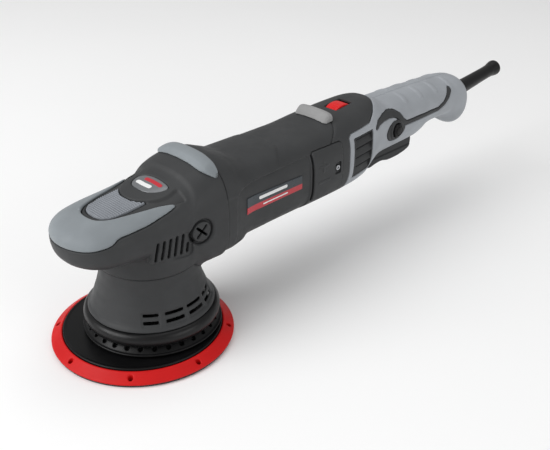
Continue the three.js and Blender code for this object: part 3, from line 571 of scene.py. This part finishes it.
def make_vent_ring():
    block = Block((-47.4, 47.4), (-47.4, 47.4), (9.7, 16.6), 0.45)
    ring = turned(block, RING_PROFILE)
    radius, angle = np.hypot(block.x, block.y), np.arctan2(block.y, block.x)
    pitch = 2 * math.pi / RING_HOLES
    along = (np.mod(angle, pitch) - pitch / 2) * radius
    hole = np.hypot(along, radius - RING_HOLE_CIRCLE) - RING_HOLE_RADIUS
    ring = without(ring, np.maximum(hole, RING_HOLE_FLOOR - block.z), 0.35)
    shape("vented_ring", block, ring, "eccentric_drive", BLACK, ["vent_ring"])


def make_skirt():
    block = Block((-43.5, 43.5), (-43.5, 43.5), (25.5, 59.3), 0.6)
    flare = turned(block, SKIRT_PROFILE)
    radius, angle = np.hypot(block.x, block.y), np.arctan2(block.y, block.x)
    skirt = flare
    for degrees, width in SKIRT_SLOTS:
        along = np.abs((np.abs(angle) - math.radians(degrees)) * radius) - width / 2
        field = both(along - 1, np.abs(block.z - SKIRT_FIELD_LEVEL) - SKIRT_FIELD_HEIGHT / 2, 0.8)
        skirt = without(skirt, np.maximum(field, -(flare + SKIRT_FIELD_DEPTH)), 0.4)
        for level in SKIRT_SLOT_LEVELS:
            slot = both(along, np.abs(block.z - level) - SKIRT_SLOT_HEIGHT / 2, 0.3)
            skirt = without(skirt, np.maximum(slot, 30 - radius), 0.3)
    shape("flared_skirt", block, skirt, "housing", DARK, ["skirt"])


def make_skirt_roll():
    block = Block((-46.4, 46.4), (-46.4, 46.4), (15.8, 25.2), 0.5)
    roll = turned(block, soft(ROLL_PROFILE, 1.5))
    shape("skirt_roll", block, roll, "housing", RUBBER, ["skirt_ring"])


# ---------------------------------------------------------------- head
# Seen from the side, [x, z]: the grip above its seam, the broad block and the field of the slots.
GRIP_SEAM = [(-70, 92.2), (-58, 92.6), (-45, 95.4), (-40, 98.1), (-17, 99.2), (-1, 101.5), (9, 104),
             (13, 130), (-70, 130)]
HEAD_BLOCK = [(16.5, 130), (19, 114), (18.6, 108.6), (14.7, 99.2), (10.7, 93), (9.5, 88), (9.5, 50),
              (60, 50), (60, 130)]
VENT_FRAME = [(-22, 74.3), (-18, 87.1), (8.5, 87), (11, 72.5), (9, 69)]
VENT_FLOOR = 33.2
# Openings in the sides of the head stop this far from its middle.
HEAD_CORE = 26
HEAD_SLOTS = 5
HEAD_SLOT_WIDTH = 2
SHORT_SLOT = [(7.2, 72.8), (8.1, 77.8)]
# The round vent's middle, and the radii of its dish, its ring groove and its crossed slots.
ROUND_VENT = (18.3, 83.2)
DISH_RADIUS = 9.6
GROOVE_RADIUS = 7.9
CROSS_RADIUS = 5.6
# Seen from above, [x, y]: the dark island in the grip, its insert and its badge.
ISLAND = [(40, -32), (9, -26.5), (-6, -21.5), (-24, -17.5), (-36, -14), (-41.5, -9.5), (-43.5, -4)]
ISLAND += [(x, -y) for x, y in reversed(ISLAND)]
BADGE_CENTRE = (5, 0)
BADGE_BOSS_RADIUS = 19.2
INSERT = [(-24, 14.2), (-34, 12.4), (-38.5, 8.5), (-40, 3), (-40, -3), (-38.5, -8.5), (-34, -12.4),
          (-24, -14.2), (-8, -14.2)]
INSERT_CURVE = BADGE_BOSS_RADIUS + GAP
INSERT += [(BADGE_CENTRE[0] - INSERT_CURVE * math.cos(a), INSERT_CURVE * math.sin(a))
           for a in np.linspace(-0.77, 0.77, 9)]
INSERT += [(-8, 14.2)]
LEAF = [(-3.3, 3), (-2.6, 9), (1.5, 13.2), (7, 14.2), (10.2, 9.5), (11.2, 1.7), (11, -7), (10, -15),
        (3.4, -13.4), (-1.6, -8.5), (-3.3, -2.8)]
GRIP_THICKNESS = 2.6
INSERT_SINK = 2.9
BADGE_SINK = 1.5
KNURL_PITCH = 2.4
# Cuts into the top of the head stop at this height, so the neck stays whole.
POCKET_FLOOR = 90
NECK_RADIUS = 34
# Cross-sections of the bumper, in the order of the casing's.
FRONT_BAR = [
    [26, 33.8, 117.6, 82.7, 49, 2.8, 3],
    [28, 34.8, 119.4, 82.7, 49, 2.8, 3],
    [30, 36, 122.2, 82.7, 49, 2.8, 3],
    [33, 37, 124.2, 82.7, 49, 2.8, 3],
    [37, 37.4, 124.8, 82.7, 49, 2.8, 3],
    [41, 37.4, 124.6, 82.7, 49, 2.8, 3],
]


def head_skin(block):
    """Outside of the head: the nose and the broader block in front of the motor."""
    skin = casing(block, HEAD, HEAD_END)
    raised = both(skin - 1.2, from_side(block, soft(HEAD_BLOCK, 4)), 1.5)
    return either(skin, raised, 2.5)


def cut_vents(block, cover, outer):
    """The head with the round vent and the row of slots cut into both sides."""
    reach = crosswise(block, ROUND_VENT)
    turn = np.arctan2(block.z - ROUND_VENT[1], block.x - ROUND_VENT[0])
    cover = without(cover, np.maximum(reach - DISH_RADIUS, -(outer + 0.7)), 0.4)
    cover = without(cover, np.maximum(np.abs(reach - GROOVE_RADIUS) - 0.9, -(outer + 3)), 0.3)
    spoke = np.abs(np.mod(turn, math.pi / 2) - math.pi / 4) * reach - 0.75
    slots = [[(-17.6 + 5 * i, 75.2 - 0.55 * i), (-15 + 4.95 * i, 86 - 0.25 * i)] for i in range(HEAD_SLOTS)]
    openings = [line(block.x, block.z, slot, [HEAD_SLOT_WIDTH] * 2) for slot in [*slots, SHORT_SLOT]]
    for opening in [both(spoke, reach - CROSS_RADIUS, 0.3), *openings]:
        cover = without(cover, np.maximum(opening, HEAD_CORE - np.abs(block.y)), 0.4)
    return cover


def make_head():
    block = Block((-65.2, 41), (-37, 37), (48.7, 122.5))
    skin = head_skin(block)
    radius = np.hypot(block.x, block.y)
    seam, island = from_side(block, soft(GRIP_SEAM, 4)), from_above(block, soft(ISLAND, 4))
    zone = both(seam, -island, 2.5)
    boss = away_from(block.x, block.y, BADGE_CENTRE) - BADGE_BOSS_RADIUS

    grip = both(np.maximum(skin - 0.15, -(skin + GRIP_THICKNESS)), zone, 1.3)
    shape("nose_grip", block, grip, "housing", GRIP, ["front_grip"])

    outer = either(skin, np.maximum(radius - NECK_RADIUS, block.z - 80), 5)
    field = from_side(block, soft(VENT_FRAME, 2.5))
    ledge = both(field, np.abs(block.y) - VENT_FLOOR + 0.2, 0.6)
    outer = either(outer, np.maximum(ledge, HEAD_CORE - np.abs(block.y)), 0.8)
    outer = without(outer, np.maximum(field, VENT_FLOOR - np.abs(block.y)), 0.4)
    cover = both(outer, block.x - HEAD_BACK, 0.9)
    cover = without(cover, np.maximum(radius - NECK_RADIUS - GAP, block.z - 59.6), 0.6)
    above = POCKET_FLOOR - block.z
    sunk = both(np.maximum(island, -(skin + 1.5)), both(-boss, block.x - 13, 3), 1.2)
    cover = without(cover, np.maximum(sunk, above), 0.8)
    cover = without(cover, np.maximum(zone - GAP, -(skin + GRIP_THICKNESS + GAP)), 0.7)
    for pocket, sink in ((soft(INSERT, 1.5), INSERT_SINK), (soft(LEAF, 3), BADGE_SINK)):
        well = np.maximum(from_above(block, pocket) - GAP, -(skin + sink))
        cover = without(cover, np.maximum(well, above), 0.5)
    cover = cut_vents(block, cover, outer)
    hollow = np.minimum(skin + 5.2, np.maximum(radius - 30.2, block.z - 86))
    shape("head_shell", block, np.maximum(cover, -hollow), "housing", DARK, ["head_cover"])


def make_insert():
    block = Block((-41, -7), (-15, 15), (98, 108), 0.3)
    skin = head_skin(block)
    along, across = (block.x + block.y) * 0.72, (block.x - block.y) * 0.72
    wave = 2 * math.pi / KNURL_PITCH
    knurl = 0.5 * np.cos(wave * along) * np.cos(wave * across)
    inside = from_above(block, soft(INSERT, 1.5)) + GAP
    insert = both(np.maximum(skin + 0.8 - knurl, -(skin + INSERT_SINK - GAP)), inside, 0.5)
    shape("insert_knurled", block, insert, "housing", KNURL, ["grip_insert"])


def make_badge():
    block = Block((-4, 12.5), (-16, 15.5), (104, 117), 0.3)
    skin = head_skin(block)
    leaf = from_above(block, soft(LEAF, 3))
    crown = skin + 0.1 + 0.25 * np.maximum(leaf + 3, 0) / 3
    badge = both(np.maximum(crown, -(skin + BADGE_SINK - GAP)), leaf, 0.4)
    shape("badge_leaf", block, badge, "housing", BADGE, ["head_badge"])
    flat = (block.axes[0][:, None], block.axes[1][None, :])
    for name, path, width, material in (
        ("badge_line_red", [(7, 5), (7.2, -1), (7, -9)], 3, BADGE_RED),
        ("badge_line_pale", [(2.4, 8), (2, 2), (2.3, -4)], 3.2, LIGHT_PRINT),
    ):
        mark = line(*flat, path, [width] * len(path))[:, :, None]
        stripe = both(np.maximum(skin - 0.1, -(skin + 0.5)), mark, 0.15)
        shape(name, block, stripe, "housing", material)


def make_front_bumper():
    block = Block((27, 41), (-30, 30), (111.5, 126), 0.45)
    away = np.abs(block.y)
    slanted_ends = ((away - 30.4) + (block.z - 111.8) * 0.82) * 0.773
    curved_front = 28 + 0.038 * np.maximum(away - 15, 0) ** 2 - block.x
    bar = both(casing(block, FRONT_BAR), slanted_ends, 0.8)
    bar = both(bar, curved_front, 0.9)
    bar = both(bar, block.x - HEAD_BACK, 0.8)
    bar = without(bar, head_skin(block) - GAP, 0.3)
    shape("front_bumper_bar", block, bar, "housing", GRIP, ["front_bumper"])


# ---------------------------------------------------------------- motor
# Outlines seen from the side, [x, z].
MOTOR = [(30, 30), (145, 30), (145, 101), (162, 113), (168, 130), (30, 130)]
RAISED = [(30, 130), (110, 130), (104.3, 111.2), (97.4, 108.5), (91, 100.6), (89, 97), (30, 97)]
PANEL = [(50, 58), (49.8, 88), (51.5, 97), (55, 99), (64, 99.9), (90, 100.5), (123, 101.3), (123, 58)]
STRIPE = [(60, 78.6), (114.3, 79.2), (114.3, 89.6), (60.3, 90.6)]
LABEL_BARS = (([(73, 86.9), (98, 87)], 2.4), ([(76, 81.2), (99, 81.5)], 1.0))
LABEL_SINK = 0.8
# The brush cover: its centre [x, z], its half sizes, its raised marks and its screw.
COVER = (141.5, 83)
COVER_HALF = (15.5, 19)
COVER_MARKS = ([(131, 90), (140, 90)], [(131, 78), (142, 78)], [(135.5, 86), (135.5, 93.5)])
COVER_MARK_WIDTH = 1.6
COVER_SCREW = (151.7, 83.6)
SCREW_RADIUS = 2
SCREW_BORE = 2.3
SCREW_HEAD = 32.2
SCREW_CROSS = (1.3, 0.35)
WALL = 2.8


def cover_zone(block):
    """Outline of the brush cover."""
    return both(np.abs(block.x - COVER[0]) - COVER_HALF[0], np.abs(block.z - COVER[1]) - COVER_HALF[1], 2)


def cover_pocket(block, skin):
    """What the brush cover needs cut away, with a finger slot along its front edge."""
    front_edge = COVER[0] - COVER_HALF[0]
    beside = np.abs(block.x - front_edge) - 1.4
    finger_slot = both(beside, np.abs(block.z - COVER[1]) - COVER_HALF[1] + 1, 0.8)
    zone = np.minimum(cover_zone(block) - GAP, finger_slot)
    return np.maximum(np.maximum(zone, 20 - np.abs(block.y)), -(skin + 1.6))


def make_motor():
    block = Block((41, 164), (-36, 36), (48.5, 122.5))
    skin = casing(block, BODY, BODY_END)
    raised = both(skin - 0.6, from_side(block, soft(RAISED, 4)), 0.6)
    case = either(skin, raised, 0.8)
    case = both(case, from_side(block, MOTOR), 0.8)
    case = both(case, BODY_FRONT - block.x, 0.9)
    panel = np.maximum(from_side(block, soft(PANEL, 3)), 15 - np.abs(block.y))
    case = without(case, np.maximum(panel, -(skin + 0.9)), 0.6)
    case = without(case, cover_pocket(block, skin), 0.5)
    case = np.maximum(case, -(skin + WALL))
    shape("motor_barrel", block, case, "housing", DARK, ["motor_casing"])


def make_label():
    block = Block((59, 115.5), (-35, -28), (77, 92), 0.3)
    skin = casing(block, BODY, BODY_END)
    sheet = np.maximum(skin + 0.35, -(skin + LABEL_SINK))
    stripe = both(sheet, from_side(block, soft(STRIPE, 0.6)), 0.2)
    shape("label_stripe", block, stripe, "housing", LABEL, ["side_label"])
    upper, lower = [line(block.x, block.z, ends, [width] * 2) for ends, width in LABEL_BARS]
    marks = both(np.maximum(skin + 0.15, -(skin + 0.6)), np.minimum(upper, lower), 0.1)
    shape("label_bars", block, marks, "housing", LIGHT_PRINT)


def make_brush_covers():
    block = Block((125, 158), (-34, -22), (63, 103), 0.4)
    skin = casing(block, BODY, BODY_END)
    lid = both(np.maximum(skin - 0.8, -(skin + 1.3)), cover_zone(block), 0.7)
    for ends in COVER_MARKS:
        mark = line(block.x, block.z, ends, [COVER_MARK_WIDTH] * 2)
        lid = either(lid, np.maximum(mark, skin - 1.2), 0.4)
    dip = both(np.abs(block.x - COVER_SCREW[0]) - 3.1, np.abs(block.z - COVER_SCREW[1]) - 4.6, 1)
    lid = without(lid, np.maximum(dip, -(skin + 0.9)), 0.3)
    lid = without(lid, crosswise(block, COVER_SCREW) - SCREW_BORE, 0.3)
    pair("brush_lid", block, lid, "housing", DARK, "brush_cover")


def make_cover_screws():
    span_x, span_z = [(c - SCREW_RADIUS, c + SCREW_RADIUS) for c in COVER_SCREW]
    block = Block(span_x, (-32.6, -27), span_z, 0.2)
    screw = both(crosswise(block, COVER_SCREW) - SCREW_RADIUS, -SCREW_HEAD - block.y, 0.4)
    screw = both(screw, block.y + 27, 0.2)
    east, up = np.abs(block.x - COVER_SCREW[0]), np.abs(block.z - COVER_SCREW[1])
    reach, thickness = SCREW_CROSS
    cross = np.minimum(both(east - thickness, up - reach, 0.1), both(up - thickness, east - reach, 0.1))
    screw = without(screw, np.maximum(cross, block.y + SCREW_HEAD - 1), 0.1)
    pair("lid_screw", block, screw, "housing", STEEL, "brush_cover_screw")


# ---------------------------------------------------------------- rear cap, dial and bumper
CAP_SIDE = [(130, 40), (166.5, 40), (166.5, 101), (170, 103.4), (193, 104.4), (230, 105), (230, 150),
            (130, 150)]
CAP_PLAN = [(130, 50), (186, 50), (193, 24.3), (202.2, 20.7), (209.5, 13.8), (214.3, 6.8), (216, 0)]
CAP_PLAN += [(x, -y) for x, y in reversed(CAP_PLAN[:-1])]
# The dial: its axis [x, z], its half width and radius, the grooves of its rim and the room around it.
DIAL = (185.5, 100.4)
DIAL_HALF = 5.5
DIAL_RADIUS = 15.8
DIAL_GROOVES = 48
DIAL_ROOM = 0.8
# Cross-sections of the bumper behind the motor, in the order of the casing's.
REAR_BAR = [
    [151, 29, 110, 83.5, 54, 3, 3],
    [153, 31, 113, 83.5, 54, 3, 3],
    [155.5, 32.5, 117, 83.5, 54, 3, 3],
    [159, 33, 119.4, 83.5, 54, 3, 3],
    [164, 32.5, 118.6, 83.5, 54, 3, 3],
]


def cap_zone(block):
    """What belongs to the rear cap: above its edge seen from the side, within its outline from above."""
    return both(from_side(block, CAP_SIDE), from_above(block, soft(CAP_PLAN, 6)), 0.6)


def make_rear_cap():
    block = Block((142, 217), (-33, 33), (53, 118.5))
    skin = casing(block, BODY, BODY_END)
    cap = both(skin, cap_zone(block), 0.8)
    cap = without(cap, from_side(block, MOTOR) - GAP, 0.8)
    cap = without(cap, cover_pocket(block, skin), 0.5)
    cap = np.maximum(cap, -(skin + WALL))
    beside = np.abs(block.y) - DIAL_HALF - DIAL_ROOM
    window = both(both(np.abs(block.x - DIAL[0]) - 9.2, beside, 0.6), 100 - block.z, 0.1)
    cap = without(cap, window, 0.6)
    well = crosswise(block, DIAL) - 16.7
    cap = np.maximum(cap, -np.maximum(well, beside))
    cap = np.maximum(cap, SCREW_BORE - crosswise(block, COVER_SCREW))
    shape("rear_cap_shell", block, cap, "housing", DARK, ["rear_cap"])


def make_dial():
    x, z = DIAL
    block = Block((x - 16, x + 16), (-DIAL_HALF, DIAL_HALF), (z - 16, z + 16), 0.4)
    reach, turn = crosswise(block, DIAL), np.arctan2(block.z - z, block.x - x)
    rim = reach - DIAL_RADIUS - 0.12 * np.cos(DIAL_GROOVES * turn)
    wheel = both(rim, np.abs(block.y) - DIAL_HALF, 0.9)
    wheel = np.maximum(wheel, 1.8 - reach)
    shape("dial_wheel", block, wheel, "speed_dial", DIAL_RED, ["speed_dial"])


def make_rear_bumper():
    block = Block((152, 164), (-16.5, 16.5), (109, 120), 0.45)
    bar = both(casing(block, REAR_BAR), np.abs(block.y) - 16, 3)
    bar = both(bar, block.x - 163, 2)
    bar = both(bar, 152.6 - block.x, 1)
    bar = without(bar, casing(block, BODY, BODY_END) - GAP, 0.3)
    shape("rear_bumper_bar", block, bar, "housing", PALE, ["rear_bumper"])


# ---------------------------------------------------------------- handle
# Places and outlines seen from the side, [x, z].
GRILLE = [(172.5, 67), (197, 67.4), (197, 98.6), (172.5, 98.8)]
GRILLE_CENTRE = (184.7, 83.1)
GRILLE_HALF = (10.9, 14.9)
BLADE_PITCH = 7.5
BLADE_FLOOR = 68.2
LOCK = (230, 88)
LOCK_BORE = 5.7
LOCK_RADIUS = 5.2
TRIGGER_PIN = (209, 70)
PIN_BORE = 2.3
# The dark inlay: a band over the lock button and one along the handle, with their widths.
ARC = [(203.5, 98), (207, 100.8), (214, 102.3), (222, 102.4), (230, 101), (235.5, 97.5), (239, 92.8),
       (244, 89.8)]
ARC_WIDTHS = [3.2, 4.6, 5.2, 5.4, 5.4, 5, 4.4, 3.4]
RUN = [(244, 89.8), (290, 88.3), (298, 91.3), (303.7, 95.6), (308, 100)]
RUN_WIDTHS = [3.4, 3.2, 3.4, 3.8, 4.2]
BOSS = [(LOCK[0] + 12.2 * math.cos(a), LOCK[1] - 0.6 + 8 * math.sin(a)) for a in np.linspace(0, 6.1, 32)]
HANDLE_SCREWS = ((262, 100), (314, 96))
HANDLE_WALL = 2.6
RIBS = (250, 270, 290.5, 311)
PADDLE_SIDE = [(205.5, 73), (204.6, 62), (208, 57), (214, 54.9), (221, 56.4), (229, 57.2), (238, 55),
               (249, 55.2), (257, 56.2), (264, 58), (266.8, 61), (267.4, 68), (264, 71.5), (258, 73.4),
               (214, 73.4)]
PADDLE_HALF = 11.8
# The slot for the paddle in the underside of the handle: its middle and half length along x, and its top.
PADDLE_SLOT = (236.1, 32.5, 79)
# The sleeve's tilt, the height where its axis would meet x = 0, and its profile as it is turned.
SLEEVE_TILT = math.radians(6.6)
SLEEVE_DROP = 46.6
SLEEVE_PROFILE = [(3.6, 328), (8.4, 328), (8.4, 332), (7.6, 332.6), (7.3, 336), (6.7, 345), (6.1, 362),
                  (5.7, 380), (5.6, 392), (5.8, 397), (6.5, 400.5), (7, 403.6), (6.7, 405.8), (5.6, 406.5),
                  (4.1, 406.4), (3.6, 405.6)]


def inlay_zone(block):
    """Outline of the inlay with the boss around the lock button."""
    flat = (block.axes[0][:, None], block.axes[2][None, :])
    band = np.minimum(line(*flat, ARC, ARC_WIDTHS), line(*flat, RUN, RUN_WIDTHS))
    return either(band, outline(*flat, BOSS), 1.0)[:, None, :]


def make_handle():
    block = Block((166, 343), (-34, 0.5), (53, 118.5))
    skin = casing(block, BODY, BODY_END)
    half = skin
    for x in RIBS:
        rib = both(both(np.abs(block.x - x) - 2, np.abs(np.abs(block.y) - 10) - 7, 2), 97 - block.z, 1)
        half = either(half, np.maximum(rib, skin - 0.5), 0.6)
    half = both(half, 166.8 - block.x, 0.7)
    half = without(half, cap_zone(block) - GAP, 0.7)
    zone = inlay_zone(block)
    half = without(half, np.maximum(zone - GAP, -(skin + 4)), 0.5)
    half = without(half, np.maximum(from_side(block, GRILLE) - GAP, 10 + block.y), 0.8)
    middle, half_length, top = PADDLE_SLOT
    slot = np.maximum(np.abs(block.y) - PADDLE_HALF - 0.5, block.z - top)
    half = without(half, np.maximum(np.abs(block.x - middle) - half_length, slot), 0.8)
    rise = (block.z - SLEEVE_DROP) * math.cos(SLEEVE_TILT) - block.x * math.sin(SLEEVE_TILT)
    half = without(half, np.maximum(np.hypot(block.y, rise) - 6.3, 318 - block.x), 0.6)
    half = without(half, np.maximum(crosswise(block, TRIGGER_PIN) - PIN_BORE, -15 - block.y), 0.2)
    half = both(half, block.y + 0.06, 0.05)
    half = np.maximum(half, -(skin + HANDLE_WALL))
    points, quads = surface(block, half)
    build("handle_half_left", points, quads, "housing", GREY, ["handle_shell_left"])
    for place in HANDLE_SCREWS:
        half = without(half, crosswise(block, place) - SCREW_BORE, 0.5)
    points, quads = surface(block, half)
    build("handle_half_right", points, quads, "housing", GREY, ["handle_shell_right"], True)


def make_inlays():
    block = Block((200, 311), (-27, -14), (77, 107), 0.45)
    skin = casing(block, BODY, BODY_END)
    reach = crosswise(block, LOCK)
    inlay = both(np.maximum(skin - 0.3, -(skin + HANDLE_WALL)), inlay_zone(block), 0.8)
    collar = both(np.abs(reach - 6.9) - 1.1, skin - 1.3, 0.6)
    inlay = np.maximum(either(inlay, collar, 0.6), -(skin + HANDLE_WALL))
    points, quads = surface(block, without(inlay, reach - LOCK_BORE, 0.3))
    build("inlay_left", points, quads, "housing", DARK, ["handle_inlay_left"])
    points, quads = surface(block, inlay)
    build("inlay_right", points, quads, "housing", DARK, ["handle_inlay_right"], True)


def make_lock_button():
    block = Block((224, 236), (-27.2, -13.5), (82, 94), 0.3)
    reach = crosswise(block, LOCK)
    dome = -27 + 0.03 * reach ** 2 - block.y
    cap = both(reach - LOCK_RADIUS, dome, 0.8)
    groove = np.maximum(np.abs(reach - 3.6) - 0.35, block.y + 26.1)
    cap = np.maximum(without(cap, groove, 0.2), block.y + 21.2)
    stem = np.maximum(reach - 3, np.abs(block.y + 18) - 4.4)
    button = either(cap, stem, 0.3)
    shape("lock_button_cap", block, button, "lock_button", BLACK, ["lock_button"])


def make_grilles():
    block = Block((172, 198), (-31, -20), (65, 99.5), 0.4)
    skin = casing(block, BODY, BODY_END)
    step = np.mod((block.z - BLADE_FLOOR) / BLADE_PITCH, 1)
    across = np.abs(block.x - GRILLE_CENTRE[0]) - GRILLE_HALF[0]
    opening = both(across, np.abs(block.z - GRILLE_CENTRE[1]) - GRILLE_HALF[1], 0.6)
    blades = np.maximum(skin + 0.7 + 3.2 * step, BLADE_PITCH * (step - 0.68))
    backed = np.minimum(blades, skin + 3.8)
    face = np.maximum(skin + 0.3, np.where(opening < 0, backed, -9))
    grille = both(np.maximum(face, -(skin + 4.4)), from_side(block, soft(GRILLE, 1.5)), 0.5)
    pair("louvre", block, grille, "housing", DARK, "vent_grille")


def make_trigger():
    block = Block((204, 268), (-12, 12), (54, 74), 0.5)
    side = from_side(block, soft(PADDLE_SIDE, 3))
    paddle = both(side, np.abs(block.y) - PADDLE_HALF, 2.4)
    ledge = np.maximum(both(212 - block.x, 62 - block.z, 1), PADDLE_HALF - 0.9 - np.abs(block.y))
    paddle = without(paddle, ledge, 0.6)
    paddle = without(paddle, crosswise(block, TRIGGER_PIN) - PIN_BORE, 0.3)
    shape("paddle", block, paddle, "trigger", PADDLE, ["trigger"])


def make_sleeve():
    """The sleeve is turned upright, then laid back along the handle's axis."""
    block = Block((-8.5, 8.5), (-8.5, 8.5), (328, 406.5), 0.45)
    points, quads = surface(block, turned(block, SLEEVE_PROFILE))
    x, y, along = points.T
    cos, sin = math.cos(SLEEVE_TILT), math.sin(SLEEVE_TILT)
    laid = np.stack([along * cos + x * sin, y, SLEEVE_DROP + along * sin - x * cos], 1)
    build("cord_sleeve", laid, quads, "housing", RUBBER, ["cable_sleeve"])


make_hooks()
make_foam()
make_pad_plate()
make_vent_ring()
make_skirt()
make_skirt_roll()
make_head()
make_insert()
make_badge()
make_front_bumper()
make_motor()
make_label()
make_brush_covers()
make_cover_screws()
make_rear_cap()
make_dial()
make_rear_bumper()
make_handle()
make_inlays()
make_lock_button()
make_grilles()
make_trigger()
make_sleeve()


# ---------------------------------------------------------------- camera, floor and light
# In metres. The camera starts level in front of the -Y side, turns about its target and rises.
CAMERA_TURN = math.radians(-44.5)
CAMERA_RISE = math.radians(28.8)
CAMERA_TARGET = (0.11783, -0.00025, 0.03608)
CAMERA_DISTANCE = 0.6667
FLOOR_HALF = 6
# Under the pad by a hair, so that the two faces don't fight.
FLOOR_LEVEL = -0.0002
LIGHT_TARGET = (0.13, 0, 0.07)


def add_camera():
    level = math.cos(CAMERA_RISE)
    back = Vector((math.sin(CAMERA_TURN) * level, -math.cos(CAMERA_TURN) * level, math.sin(CAMERA_RISE)))
    data = bpy.data.cameras.new("camera")
    data.sensor_width = 36
    data.lens = 57.47
    data.clip_start = 0.02
    camera = bpy.data.objects.new("camera", data)
    camera.location = Vector(CAMERA_TARGET) + CAMERA_DISTANCE * back
    camera.rotation_euler = back.to_track_quat("Z", "Y").to_euler()
    bpy.context.scene.collection.objects.link(camera)
    bpy.context.scene.camera = camera


def add_floor():
    mesh = bpy.data.meshes.new("floor")
    corners = [(FLOOR_HALF * x, FLOOR_HALF * y, 0) for x, y in ((-1, -1), (1, -1), (1, 1), (-1, 1))]
    mesh.from_pydata(corners, [], [(0, 1, 2, 3)])
    floor = bpy.data.objects.new("floor", mesh)
    material, tree, shader = nodes_of("floor_paper")
    pale = blend(tree, spread(tree, noise(tree, 2), 0, 1), (0.93, 0.93, 0.93), (0.95, 0.95, 0.95))
    tree.links.new(pale, shader.inputs["Base Color"])
    shader.inputs["Roughness"].default_value = 0.9
    mesh.materials.append(material)
    bpy.context.scene.collection.objects.link(floor)
    floor.location.z = FLOOR_LEVEL


def add_light(name, place, size, power):
    data = bpy.data.lights.new(name, "AREA")
    data.shape = "RECTANGLE"
    data.size, data.size_y = size
    data.energy = power
    light = bpy.data.objects.new(name, data)
    light.location = place
    light.rotation_euler = (Vector(place) - Vector(LIGHT_TARGET)).to_track_quat("Z", "Y").to_euler()
    bpy.context.scene.collection.objects.link(light)


def add_world():
    world = bpy.data.worlds.new("studio")
    bpy.context.scene.world = world
    world.use_nodes = True
    background = world.node_tree.nodes["Background"]
    background.inputs["Color"].default_value = (1, 1, 1, 1)
    background.inputs["Strength"].default_value = 0.42


add_camera()
add_floor()
add_world()
add_light("key", (-1.45, 0.5, 1.1), (1.4, 1.2), 26)
add_light("top", (0.2, 0.2, 1.8), (1.8, 1.4), 9)
add_light("front", (0.4, -1.7, 0.7), (1.2, 0.8), 6.5)
bpy.context.scene.view_settings.view_transform = "Standard"
